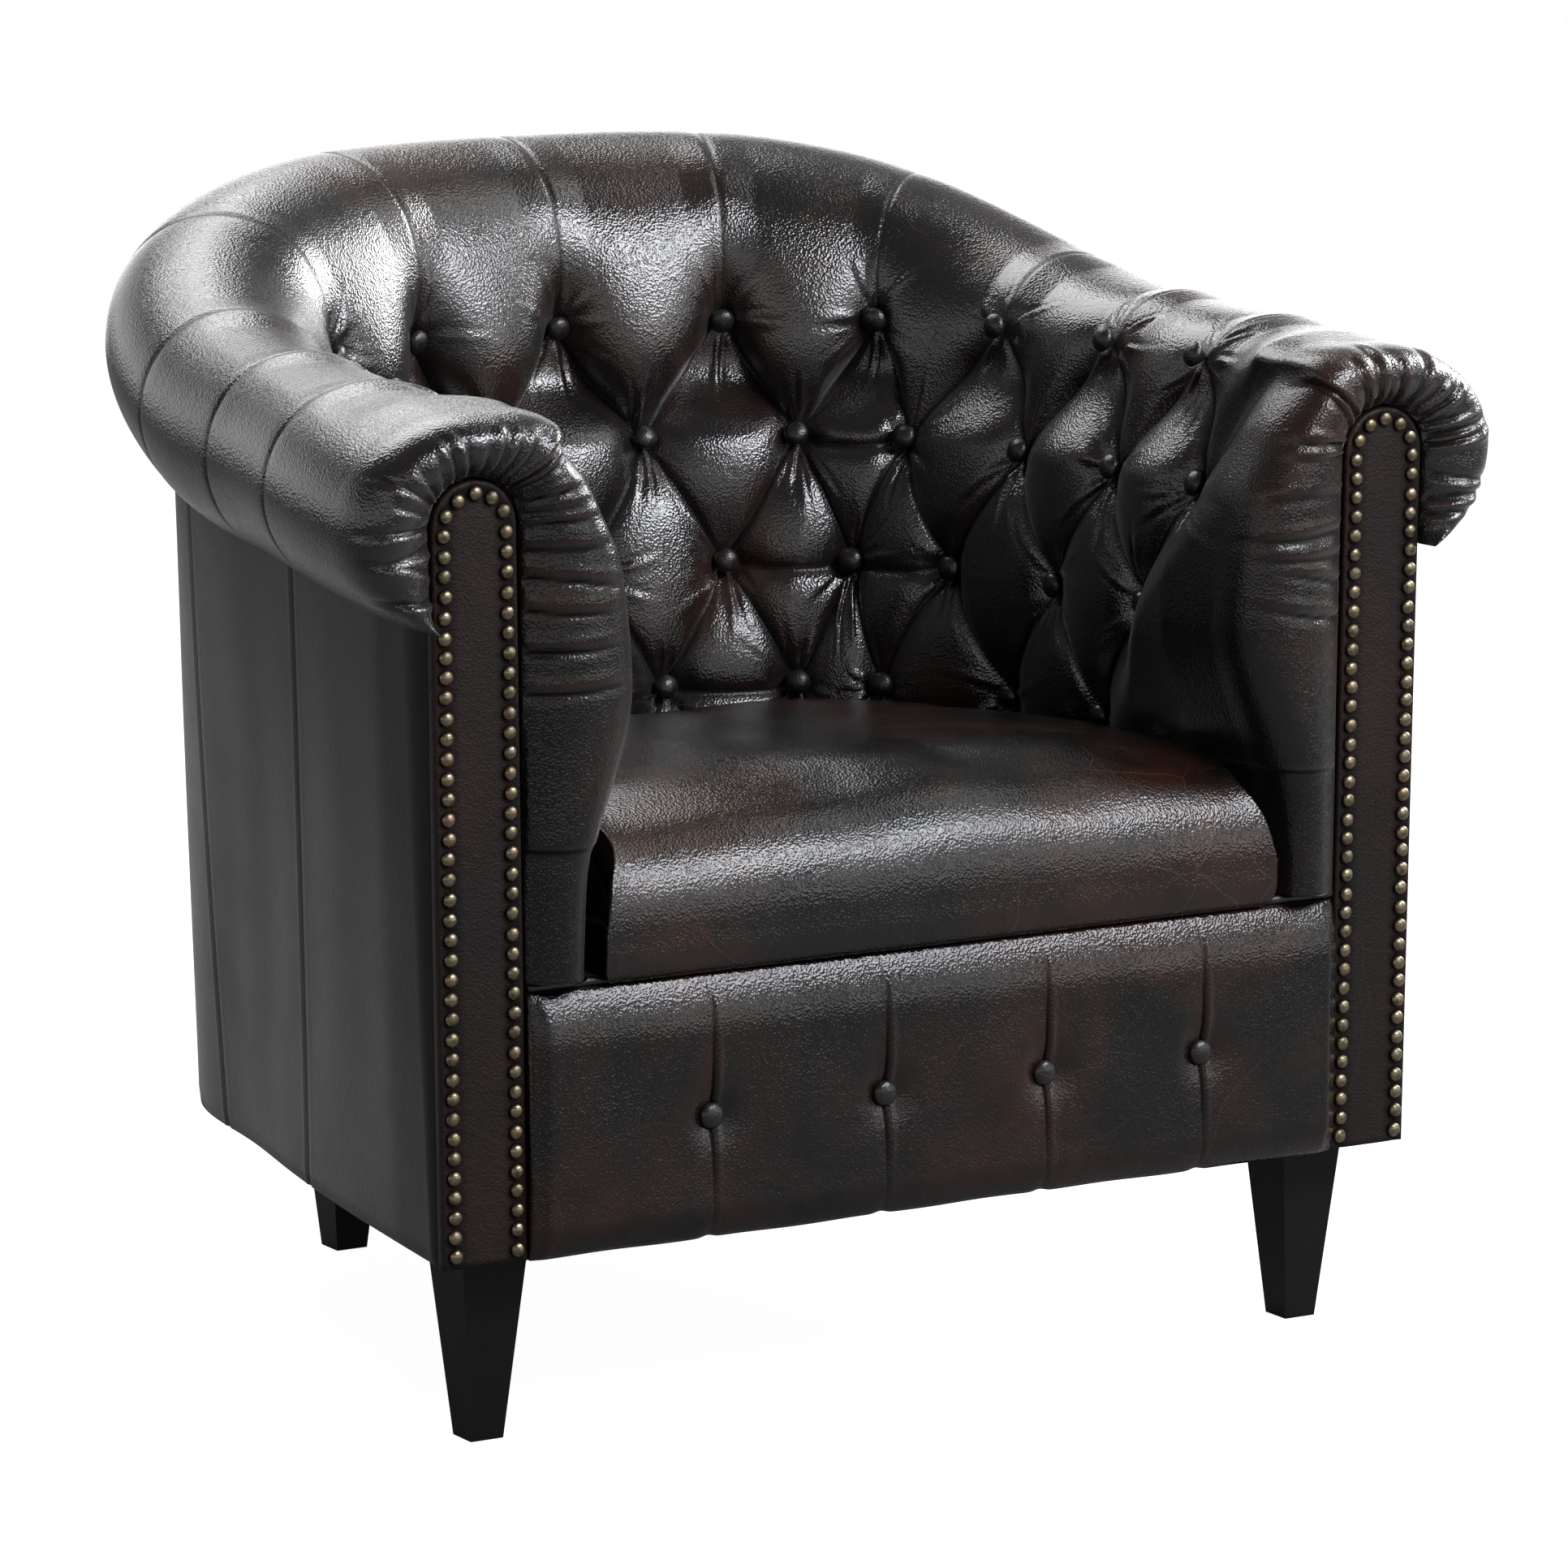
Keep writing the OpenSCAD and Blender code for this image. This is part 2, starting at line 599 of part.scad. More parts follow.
module right_quarter_panel() {
    u0 = panel_seam + panel_gap_share;
    color(shell_leather)
        panel([for (u = steps(u0, side_seam - panel_gap_share, 8)) panel_station(u)]);
}
module right_outer_panel() {
    color(shell_leather) panel(concat(
        [for (u = steps(side_seam, front_panel_end, 7)) panel_station(u)], [panel_end()]));
}
module left_quarter_panel() {
    mirror([1, 0, 0]) right_quarter_panel();
}
module left_outer_panel() {
    mirror([1, 0, 0]) right_outer_panel();
}

// Bent rails inside the roll, and the posts that carry them
top_rail_w = 36;
top_rail_h = 26;
top_rail_drop = 9;
post_room = 8;
function top_rail_ring(u) =
    let (z = hollow_top(u) - top_rail_drop, n0 = arch_n - top_rail_w / 2, n1 = arch_n + top_rail_w / 2)
    [place(u, [n0, z - top_rail_h]), place(u, [n0, z]), place(u, [n1, z]), place(u, [n1, z - top_rail_h])];
module bar(rings) {
    n = len(rings);
    polyhedron(
        points = [for (r = rings) for (v = r) v],
        faces = concat(
            [for (i = [0:n - 2]) for (j = [0:3])
                let (a = i * 4 + j, b = i * 4 + (j + 1) % 4)
                for (f = [[a, b + 4, a + 4], [a, b, b + 4]]) f],
            [[0, 2, 1], [0, 3, 2]],
            [for (f = [[0, 1, 2], [0, 2, 3]]) [for (k = f) (n - 1) * 4 + k]]
        )
    );
}
module back_top_rail() {
    color(timber)
        bar([for (u = steps(-split_seam + pad_gap_share, split_seam - pad_gap_share, 24)) top_rail_ring(u)]);
}
module right_arm_rail() {
    color(timber)
        bar([for (u = steps(split_seam + pad_gap_share, line_u_y(board_back + gap), 10)) top_rail_ring(u)]);
}
module left_arm_rail() {
    mirror([1, 0, 0]) right_arm_rail();
}
lining_n = hollow_n - 2 * gap;
post_n = lining_n - lining_t - gap;
function panel_inner_n(u, z) =
    let (low = (base_at(u) - line_at(u)) * line_out(u))
    mix(low, panel_n, clamp01((z - leg_h) / (crease_z(u) - leg_h))) - panel_t;
function post_ring(u) =
    let (top = hollow_top(u) - top_rail_drop - top_rail_h - gap)
    [
        place(u, [-post_n, rail_top]), place(u, [arch_n - top_rail_w / 2, top]),
        place(u, [arch_n + top_rail_w / 2, top]), place(u, [panel_inner_n(u, rail_top) - post_room, rail_top])
    ];
module post(u) {
    speed = norm(line_at(u + step_u) - line_at(u - step_u)) / (2 * step_u);
    du = post_w / 2 / speed;
    color(timber) bar([post_ring(u - du), post_ring(u + du)]);
}
arm_post_seam = 4.2;
back_post_seam = 1.5;
module right_arm_post() {
    post(arm_post_seam);
}
module left_arm_post() {
    mirror([1, 0, 0]) right_arm_post();
}
module right_back_post() {
    post(back_post_seam);
}
module left_back_post() {
    mirror([1, 0, 0]) right_back_post();
}
lining_step = 2;
module lining(u0, u1, count, top) {
    color(timber) translate([0, 0, pad_foot_z]) linear_extrude(top - pad_foot_z)
        line_band(u0, u1, -lining_n, -lining_n + lining_t, count);
}
module back_lining() {
    u = split_seam - pad_gap_share;
    lining(-u, u, 2 * split_seam * pad_steps, min(line_z(split_seam), back_line_z) - lining_step);
}
module right_lining() {
    top = min(arm_line_z, line_z(split_seam)) - lining_step;
    lining(split_seam + pad_gap_share, line_u_y(board_back + gap), 10, top);
}
module left_lining() {
    mirror([1, 0, 0]) right_lining();
}

// Seat deck: zig-zag springs from rail to rail under a firm pad
spring_pitch = 74;
spring_xs = [for (i = [-2:2]) i * spring_pitch];
spring_wave = 44;
spring_sway = 22;
spring_seat = 14;
clip_w = 16;
clip_l = 10;
clip_t = 1.5;
spring_front = front_rail_back - spring_seat;
function spring_back(x) = rail_off(base_u_x(x), -rail_t)[1] + spring_seat;
wire_z = rail_top + gap;
function sway(y, l) =
    let (t = y - spring_front)
    let (start = ease((t - spring_seat) / spring_wave), end = ease((l - t - spring_seat) / spring_wave))
    spring_sway * sin(360 * t / spring_wave) * start * end;
spring_steps = 150;
module spring(l) {
    pts = [for (y = steps(spring_front, spring_front + l, spring_steps)) [sway(y, l), y]];
    outs = [for (i = [0:spring_steps])
        unit(turned(pts[min(i + 1, spring_steps)] - pts[max(i - 1, 0)])) * wire_d / 2];
    translate([0, 0, wire_z]) linear_extrude(wire_d)
        polygon(concat([for (i = [0:spring_steps]) pts[i] + outs[i]],
            [for (i = [spring_steps:-1:0]) pts[i] - outs[i]]));
}
module clip() {
    difference() {
        translate([-clip_w / 2, -clip_l / 2, 0]) cube([clip_w, clip_l, wire_d + 2 * gap + clip_t]);
        translate([-wire_d / 2 - gap, -clip_l / 2 - overrun, -overrun])
            cube([wire_d + 2 * gap, clip_l + 2 * overrun, wire_d + 2 * gap + overrun]);
    }
}
module seat_springs() {
    color("silver") for (x = spring_xs)
        translate([x, 0, 0]) spring(spring_back(abs(x)) - spring_front);
}
module spring_clips() {
    color("gray") for (x = spring_xs, y = [spring_front + clip_l / 2, spring_back(abs(x)) - clip_l / 2])
        translate([x, y, rail_top]) clip();
}
border_lip = 10;
deck_front = board_y + border_lip + gap;
deck_n = hollow_n + gap;
deck_foot = wire_z + wire_d + gap + clip_t + gap;
module deck_pad() {
    color([0.85, 0.82, 0.75]) translate([0, 0, deck_foot]) linear_extrude(seat_h - deck_foot)
        difference() {
            polygon([for (u = steps(-last_seam, last_seam, 60)) line_off(u, -deck_n)]);
            in_front_of(deck_front);
        }
}
module dust_cover() {
    color([0.08, 0.08, 0.08]) translate([0, 0, leg_h - cloth_t]) linear_extrude(cloth_t)
        difference() {
            polygon([for (u = steps(-last_seam, last_seam, 48)) base_off(u, -panel_t - gap)]);
            in_front_of(board_y);
            for (at = [front_leg_at, rear_leg_at], side = [-1, 1])
                translate([side * at[0], at[1]]) circle(r = bolt_r + gap);
        }
}

// Front border: a padded panel with sewn channels, turned over the front rail
channel_shares = [-0.58, -0.157, 0.243, 0.643];
channel_half_w = 15;
border_half_w = opening_half_w - gap;
border_edge = 2;
border_rows = 7;
channel_near_shares = [-1, -0.35, 0, 0.35, 1];
border_xs = concat(
    [-border_half_w, -border_half_w + border_edge * 3],
    [for (c = channel_shares) for (k = channel_near_shares) c * border_half_w + k * channel_half_w],
    [border_half_w - border_edge * 3, border_half_w]
);
function channel(x) =
    max([for (c = channel_shares) 1 - ease(abs(x - c * border_half_w) / channel_half_w)]);
function border_y(x, s) =
    let (side = ease((border_half_w - abs(x)) / (border_edge * 5)))
    let (bulge = pow(sin(180 * mix(0.04, 0.96, s)), 0.55) * mix(0.5, 1, side))
    let (fold = channel(x) * sin(180 * mix(0.12, 0.9, s)))
    front_y + border_edge - (border_bulge + border_edge) * bulge + channel_d * fold;
border_back = board_y - gap;
function border_ring(x) = concat(
    [[x, border_back, leg_h]],
    [for (s = steps(0, 1, border_rows)) [x, border_y(x, s), mix(leg_h, seat_h, s)]],
    [[x, board_y + border_lip, seat_h], [x, board_y + border_lip, rail_top + gap]],
    [[x, border_back, rail_top + gap]]
);
module front_border() {
    rings = [for (x = border_xs) border_ring(x)];
    n = len(rings);
    size = len(rings[0]);
    color(leather) polyhedron(
        points = [for (r = rings) for (v = r) v],
        faces = concat(
            [for (i = [0:n - 2]) for (j = [0:size - 1])
                let (a = i * size + j, b = i * size + (j + 1) % size)
                for (f = [[a, b + size, a + size], [a, b, b + size]]) f],
            [[for (j = [size - 1:-1:0]) j]],
            [[for (j = [0:size - 1]) (n - 1) * size + j]]
        ),
        convexity = 6
    );
}
piping_y = front_y + piping_d / 2;
module border_piping() {
    color(leather) translate([-border_half_w, piping_y, seat_h + gap + piping_d / 2])
        rotate([0, 90, 0]) cylinder(h = 2 * border_half_w, d = piping_d);
}
module border_buttons() {
    s = border_button_z / (seat_h - leg_h);
    color(leather) for (c = channel_shares)
        translate([c * border_half_w, border_y(c * border_half_w, s) - gap, leg_h + border_button_z])
            rotate([90, 0, 0]) button(border_taper_share);
}

// Seat cushion: crowned, with a bull nose in front, shaped to the arms and the back
cushion_x_shares = [0, 0.40, 0.64, 0.83, 0.935, 0.985, 1, 1, 0.975, 0.88, 0.6, 0.3, 0];
cushion_y_shares = [1, 0.965, 0.90, 0.77, 0.58, 0.36, 0.16, 0.075, 0.025, 0.004, 0, 0, 0];
cushion_s_shares = [0.5, 0.86, 0.955, 0.995, 1, 0.985, 0.94, 0.86, 0.7, 0.45, 0.2];
cushion_h_shares = [0, 0, 0.1, 0.32, 0.56, 0.77, 0.92, 1, 1, 1, 1];
cushion_nose = 4;
cushion_front = front_y - cushion_nose;
cushion_half_w = line_half_w - arm_pad_d - cushion_side_room;
cushion_d = line_d - back_pad_d - cushion_back_room + cushion_nose;
cushion_mid = 0.5;
outline_half = len(cushion_x_shares) - 1;
outline_cuts = 2;
outline_count = 2 * outline_half * outline_cuts;
function outline_knot(k) =
    let (n = outline_half, i = (k + 4 * n) % (2 * n), m = i <= n ? i : 2 * n - i)
    [(i <= n ? 1 : -1) * cushion_x_shares[m], cushion_y_shares[m]];
function outline(i) =
    let (k = floor(i / outline_cuts), t = i / outline_cuts - k)
    spline(outline_knot(k - 1), outline_knot(k), outline_knot(k + 1), outline_knot(k + 2), t);
function cushion_ring(k) =
    let (s = cushion_s_shares[k], h = cushion_h_shares[k])
    [for (i = [0:outline_count - 1])
        let (o = outline(i), y = mix(cushion_mid, o[1], s))
        let (rise = mix(cushion_front_t - crown_h, cushion_back_t - crown_h, clamp01(y)))
        let (crown = h < 1 ? 0 : crown_h * sin(90 * clamp01((1 - s) * 1.35)))
        [cushion_half_w * o[0] * s, cushion_front + cushion_d * y, seat_h + gap + rise * h + crown]];
module seat_cushion() {
    n = len(cushion_s_shares);
    m = outline_count;
    top_y = cushion_front + cushion_d * cushion_mid;
    top_z = seat_h + gap + (cushion_front_t + cushion_back_t) / 2;
    color(leather) polyhedron(
        points = concat([for (k = [0:n - 1]) for (v = cushion_ring(k)) v],
            [[0, top_y, seat_h + gap], [0, top_y, top_z]]),
        faces = concat(
            [for (k = [0:n - 2]) for (i = [0:m - 1])
                let (a = k * m + i, b = k * m + (i + 1) % m)
                for (f = [[a, b + m, a + m], [a, b, b + m]]) f],
            [for (i = [0:m - 1]) [n * m, (i + 1) % m, i]],
            [for (i = [0:m - 1]) [n * m + 1, (n - 1) * m + i, (n - 1) * m + (i + 1) % m]]
        ),
        convexity = 4
    );
}

// Legs: square, tapered alike on all four sides, each on a hanger bolt
leg_h_free = leg_h - cloth_t;
module leg_side() {
    rotate([90, 0, 0]) translate([0, 0, -leg_top_w]) linear_extrude(2 * leg_top_w)
        polygon([
            [-leg_foot_w / 2, 0], [leg_foot_w / 2, 0],
            [leg_top_w / 2, leg_h_free], [-leg_top_w / 2, leg_h_free]
        ]);
}
module leg(at) {
    color([0.05, 0.05, 0.05]) translate([at[0], at[1], 0]) difference() {
        intersection() {
            leg_side();
            rotate([0, 0, 90]) leg_side();
        }
        translate([0, 0, leg_h_free - bolt_grip - gap]) cylinder(h = bolt_grip + overrun, r = bolt_r + gap);
    }
}
module front_right_leg() {
    leg(front_leg_at);
}
module front_left_leg() {
    mirror([1, 0, 0]) front_right_leg();
}
module rear_right_leg() {
    leg(rear_leg_at);
}
module rear_left_leg() {
    mirror([1, 0, 0]) rear_right_leg();
}
module leg_bolts() {
    color("gray") for (at = [front_leg_at, rear_leg_at], side = [-1, 1])
        translate([side * at[0], at[1], leg_h_free - bolt_grip])
            cylinder(h = bolt_grip + cloth_t + block_h, r = bolt_r);
}

front_rail();
left_side_rail();
right_side_rail();
rear_rail();
front_left_block();
front_right_block();
rear_left_block();
rear_right_block();
left_front_board();
right_front_board();
left_arm_post();
right_arm_post();
left_back_post();
right_back_post();
left_arm_rail();
right_arm_rail();
back_top_rail();
left_lining();
back_lining();
right_lining();
seat_springs();
spring_clips();
deck_pad();
dust_cover();
left_arm_pad();
back_pad();
right_arm_pad();
back_buttons();
left_outer_panel();
left_quarter_panel();
outer_back_panel();
right_quarter_panel();
right_outer_panel();
left_facing();
right_facing();
left_facing_nails();
right_facing_nails();
front_border();
border_piping();
border_buttons();
seat_cushion();
front_left_leg();
front_right_leg();
rear_left_leg();
rear_right_leg();
leg_bolts();
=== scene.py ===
import math

import bmesh
import bpy
import numpy as np
from mathutils import Euler, Matrix, Vector
from mathutils.kdtree import KDTree

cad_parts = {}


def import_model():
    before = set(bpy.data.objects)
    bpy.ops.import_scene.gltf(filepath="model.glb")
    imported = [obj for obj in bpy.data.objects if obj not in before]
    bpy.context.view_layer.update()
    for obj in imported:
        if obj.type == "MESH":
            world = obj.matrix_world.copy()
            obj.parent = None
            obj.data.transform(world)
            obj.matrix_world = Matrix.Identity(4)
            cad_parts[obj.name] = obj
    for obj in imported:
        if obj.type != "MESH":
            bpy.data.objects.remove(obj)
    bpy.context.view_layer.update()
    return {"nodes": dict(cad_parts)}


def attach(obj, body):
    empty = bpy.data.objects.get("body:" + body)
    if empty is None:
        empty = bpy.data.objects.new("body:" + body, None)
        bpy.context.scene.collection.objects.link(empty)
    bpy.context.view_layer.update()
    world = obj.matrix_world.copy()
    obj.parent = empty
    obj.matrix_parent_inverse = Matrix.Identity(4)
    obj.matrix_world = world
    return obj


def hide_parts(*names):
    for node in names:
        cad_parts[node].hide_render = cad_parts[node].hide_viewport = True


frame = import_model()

nodes = frame["nodes"]
MM = 0.001
rng = np.random.default_rng(7)

# Sizes of the chair, in millimetres: the same values and formulas as in the part's source
OVERALL_W, OVERALL_D, BACK_H, ARM_H = 842, 660, 754, 650
LEG_H, SEAT_H = 122.7, 290
ROLL_BACK_D, ROLL_ARM_D, ROLL_FRONT_W, ROLL_FRONT_H = 158, 131, 164, 136
ROW_PITCH, BACK_PAD_D, ARM_PAD_D = 82, 138, 80
PUFF_D, FLUTE_D, BUTTON_D, BUTTON_H = 22, 13, 17, 4.5
FACING_W, FACING_T, FACING_LEAN, NOSE_D = 59.5, 10, 6, 15
NAIL_D, NAIL_H, NAIL_INSET, NAIL_PITCH = 9.4, 3, 8, 12.4
GAP = 0.3
ROLL_REACH, ROW_DROP, FACING_DROP, SIDE_IN, REAR_IN = 1.4, 18, 40, 61.5, 42
HOLLOW_GAP, ARCH_GAP, LIP_GAP, RIM_Y = 1.4, 3, 2.5, 25
FRONT_Y = -OVERALL_D / 2 + NOSE_D
BOARD_Y = FRONT_Y + FACING_T + GAP
LINE_HALF_W = (OVERALL_W - ROLL_FRONT_W) / 2
LINE_D = OVERALL_D - NOSE_D + ROLL_REACH - ROLL_BACK_D / 2
BACK_LINE_Z = BACK_H - ROLL_BACK_D / 2
ARM_LINE_Z = ARM_H - ROLL_FRONT_H / 2
ROW_H = ARM_H - ROW_DROP
FACING_H = ARM_H - FACING_DROP
BASE_W = OVERALL_W - 2 * SIDE_IN
BASE_D = OVERALL_D - NOSE_D - REAR_IN
FACING_R = FACING_W / 2
ARCH_Z = FACING_H - FACING_R
FACING_FOOT_X = BASE_W / 2 - FACING_R
FACING_TOP_X = FACING_FOOT_X + FACING_LEAN
ARCH_N = FACING_TOP_X - LINE_HALF_W
HOLLOW_N, HOLLOW_R = 48, FACING_R + HOLLOW_GAP
HOLLOW_RISE = FACING_H - ARM_LINE_Z + ARCH_GAP
PANEL_N = ARCH_N + FACING_R - GAP
LIP_N = PANEL_N + GAP + LIP_GAP
PAD_FOOT_Z = SEAT_H + GAP
FOOT_Q = (ROW_H - PAD_FOOT_Z) / ROW_PITCH
LAST_SEAM, SPLIT_SEAM, SEAMS_END = 6, 3, 5.6
PANEL_T, PANEL_SEAM, SIDE_SEAM = 4, 2.8, 4.42

LINE_X = [0, 0.42, 0.84, 0.955, 0.98, 1.005, 1]
LINE_Y = [1.01, 0.98, 0.84, 0.58, 0.38, 0.19, 0]
LINE_Z = [0.995, 1.01, 0.82, 0.25, 0.18, 0.10, 0]
BASE_X = [0, 0.41, 0.78, 0.81, 0.87, 0.94, 1]
BASE_Y = [1, 1, 0.89, 0.65, 0.51, 0.28, 0]
BACK_DEPTHS = [0, 0.62, 0.75, 0.88, 1]
ARM_DEPTHS = [0, 0.90, 1, 0.98, 0.94]

# Tufting, with places counted in seams (u, p) and rows of buttons (q), depths in millimetres
STEP, CLEAR, STEEPEST = 0.02, 6, 0.9
DRIFT, DRIFT_END = 0.05, 5.5
ARM_FROM, ARM_SPAN = 2, 1.5
PLAIN_FROM, PLAIN_SLOPE, PLAIN_RISE = 5.52, 0.48, 0.9
DIP, DIP_SHARP, RIDGE, RIDGE_ROUND = 0.46, 22, 0.54, 0.4
CROWD_PITCH, LOW_RISE, LOW_FROM, LOW_SPAN = 95, 0.72, 2.4, 1.2
PLUMP, PLUMP_START, PLUMP_FROM, PLUMP_SPAN = 28, 0.6, 1.9, 1.5
FADE_ANGLE, FADE_POWER, TUCK = math.radians(95), 1.6, 5
SEAM_D, SEAM_W, DRAWN_D, DRAWN_W = 1.3, 1 / 70, 0.4, 1 / 16


def mix(a, b, t):
    return a + (b - a) * t


def clamp01(t):
    return np.clip(t, 0, 1)


def ease(t):
    c = clamp01(t)
    return c * c * (3 - 2 * c)


def bell(x, width):
    return np.exp(-(x / width) ** 2)


def between(shares, t):
    """Smooth curve through the shares, without a kink at a row of buttons."""
    v = np.array([shares[0], *shares, shares[-1]], float)
    slopes = (v[2:] - v[:-2]) / 2
    rise = np.diff(shares)
    product = rise[1:] * rise[:-1]
    slopes[1:-1] = np.where(product > 0, 2 * product / (rise[1:] + rise[:-1] + 1e-9), 0)
    slopes[0], slopes[-1] = rise[0], rise[-1]
    t = np.clip(np.asarray(t, float), 0, len(shares) - 1)
    i = np.minimum(t.astype(int), len(shares) - 2)
    f = t - i
    a, b = np.asarray(shares)[i], np.asarray(shares)[i + 1]
    h = f * f * (3 - 2 * f)
    return a + (b - a) * h + slopes[i] * (f**3 - 2 * f**2 + f) + slopes[i + 1] * (f**3 - f**2)


def off_whole(t):
    return np.abs(t - np.round(t))


def lane(shares, u, odd=False):
    """Smooth curve pulled by the shares at the seams, mirrored at the middle of the back."""
    before = -shares[1] if odd else shares[1]
    knots = np.array([before, *shares, 2 * shares[-1] - shares[-2]], float)
    u = np.asarray(u, float)
    i = np.minimum(np.floor(np.abs(u)), LAST_SEAM - 1).astype(int)
    t = np.abs(u) - i
    s = 1 - t
    a, b, c, d = (knots[i + k] for k in range(4))
    v = (a * s**3 + b * (4 - 6 * t**2 + 3 * t**3) + c * (4 - 6 * s**2 + 3 * s**3) + d * t**3) / 6
    return np.where(u < 0, -v, v) if odd else v


def line_at(u):
    x = LINE_HALF_W * lane(LINE_X, u, True)
    y = FRONT_Y + RIM_Y + (LINE_D - RIM_Y) * lane(LINE_Y, u)
    return np.stack([x, y], -1)


def base_at(u):
    x = BASE_W / 2 * lane(BASE_X, u, True)
    y = FRONT_Y + BASE_D * lane(BASE_Y, u)
    return np.stack([x, y], -1)


def outward(curve, u):
    u = np.asarray(u, float)
    v = curve(np.minimum(u + STEP, LAST_SEAM)) - curve(np.maximum(u - STEP, -LAST_SEAM))
    v = np.stack([-v[..., 1], v[..., 0]], -1)
    return v / np.linalg.norm(v, axis=-1, keepdims=True)


def off(curve, u, n):
    return curve(u) + outward(curve, u) * np.asarray(n)[..., None]


def line_z(u):
    return mix(ARM_LINE_Z, BACK_LINE_Z, lane(LINE_Z, u))


def roll_r(u, front):
    a = np.abs(u)
    back = mix(ROLL_BACK_D, ROLL_ARM_D, ease((a - 1) / (SPLIT_SEAM - 1))) / 2
    return np.where(a < SPLIT_SEAM, back, mix(ROLL_ARM_D, front, ease((a - 4) / 2)) / 2)


def roll_rn(u):
    return roll_r(u, ROLL_FRONT_W)


def roll_rz(u):
    return roll_r(u, ROLL_FRONT_H)


def row_angle(u):
    return np.arcsin(np.clip((ROW_H - line_z(u)) / roll_rz(u), -STEEPEST, STEEPEST))


def end_angle(u):
    return math.pi + np.arccos(LIP_N / roll_rn(u))


def crease_z(u):
    return line_z(u) + roll_rz(u) * np.sin(end_angle(u))


def drifted(p, q):
    """The seam's place at row q: the buttons drift a little towards the middle of the back."""
    a, k = np.abs(p), 1 - DRIFT * clamp01(q)
    v = np.where(a <= DRIFT_END, a * k,
                 mix(DRIFT_END * k, LAST_SEAM, (a - DRIFT_END) / (LAST_SEAM - DRIFT_END)))
    return np.where(p < 0, -v, v)


def pit_n(u, q):
    """Depth of the pits inside the line, from the roll at row 0 down to the seat."""
    arm = ease((np.abs(u) - ARM_FROM) / ARM_SPAN)
    n0 = np.maximum(roll_rn(u) * np.cos(row_angle(u)), HOLLOW_N + CLEAR)
    t = np.minimum(q, 4)
    deep = mix(BACK_PAD_D * between(BACK_DEPTHS, t), ARM_PAD_D * between(ARM_DEPTHS, t), arm)
    return np.where(q < 1, mix(n0, deep, ease(q)), deep)


def pitch_at(u, q):
    """Distance between two buttons of a row, in millimetres."""
    ahead = off(line_at, np.minimum(u + 0.5, LAST_SEAM), -pit_n(u, q))
    return np.linalg.norm(ahead - off(line_at, np.maximum(u - 0.5, -LAST_SEAM), -pit_n(u, q)), axis=-1)


def plain_share(p, q):
    """Share of the smooth arm fronts: 0 where the leather is buttoned, 1 where it is plain."""
    return ease((np.abs(p) - PLAIN_FROM + PLAIN_SLOPE * np.maximum(q - 1, 0)) * 2)


def quilt(p, q):
    """Height of the leather over the pits: 0 at a button, 1 in the middle of a diamond."""
    a, b = p + np.maximum(q, 0) / 2, p - np.maximum(q, 0) / 2
    d2 = off_whole(a) ** 2 + off_whole(b) ** 2 + (np.minimum(q, 0) / 2) ** 2
    ridge = np.abs(np.sin(math.pi * a) * np.sin(math.pi * b))
    h = DIP * (1 - np.exp(-d2 * DIP_SHARP)) + RIDGE * ridge**RIDGE_ROUND
    return mix(h, PLAIN_RISE, plain_share(p, q))


def quilt_rise(u, q):
    crowd = np.minimum(1, pitch_at(u, q) / CROWD_PITCH)
    return mix(FLUTE_D, PUFF_D * crowd, ease(q)) * mix(1, LOW_RISE, ease((q - LOW_FROM) / LOW_SPAN))


def place(u, n, z):
    return np.concatenate([off(line_at, u, n), np.broadcast_to(z, np.shape(n))[..., None]], -1)


def plump(p, q):
    """Extra padding of the smooth arm fronts, above the seat cushion."""
    return PLUMP * plain_share(p, q) * ease(q / PLUMP_START) * (1 - ease((q - PLUMP_FROM) / PLUMP_SPAN))


def face_nz(p, q):
    u = drifted(p, q)
    rise = quilt_rise(u, q) * quilt(p, q) + plump(p, q)
    lift = row_angle(u) * (1 - ease(q))
    return u, -pit_n(u, q) - rise * np.cos(lift), ROW_H - q * ROW_PITCH + rise * np.sin(lift)


def roll_nz(p, t):
    a1 = row_angle(p)
    a = mix(a1, end_angle(p), t)
    fade = 1 - ease((a - a1) / (FADE_ANGLE - a1))
    groove = SEAM_D * bell(off_whole(p), SEAM_W) + DRAWN_D * bell(off_whole(p), DRAWN_W)
    rise = FLUTE_D * quilt(p, -t * 3) * fade**FADE_POWER - groove * (np.abs(p) < SEAMS_END) * ease(t * 6)
    tuck = clamp01(TUCK * (1 - t))
    n = -(roll_rn(p) + rise * tuck) * np.cos(a)
    return n, line_z(p) + (roll_rz(p) + rise * tuck) * np.sin(a)


def facing_edge(n, z, spare):
    c = ARCH_N - FACING_LEAN * clamp01((ARCH_Z - z) / (ARCH_Z - LEG_H))
    r = FACING_R + spare
    v = np.stack([n - c, z - ARCH_Z], -1)
    v = v / np.linalg.norm(v, axis=-1, keepdims=True) * (r + 1)
    low = z <= ARCH_Z
    return np.where(low, c + np.where(n < c, -r, r), c + v[..., 0]), np.where(low, z, ARCH_Z + v[..., 1])


def lifted(u, n, z, y):
    x = off(line_at, u, n)[..., 0]
    return np.stack([x, np.broadcast_to(FRONT_Y + y, x.shape), z], -1)


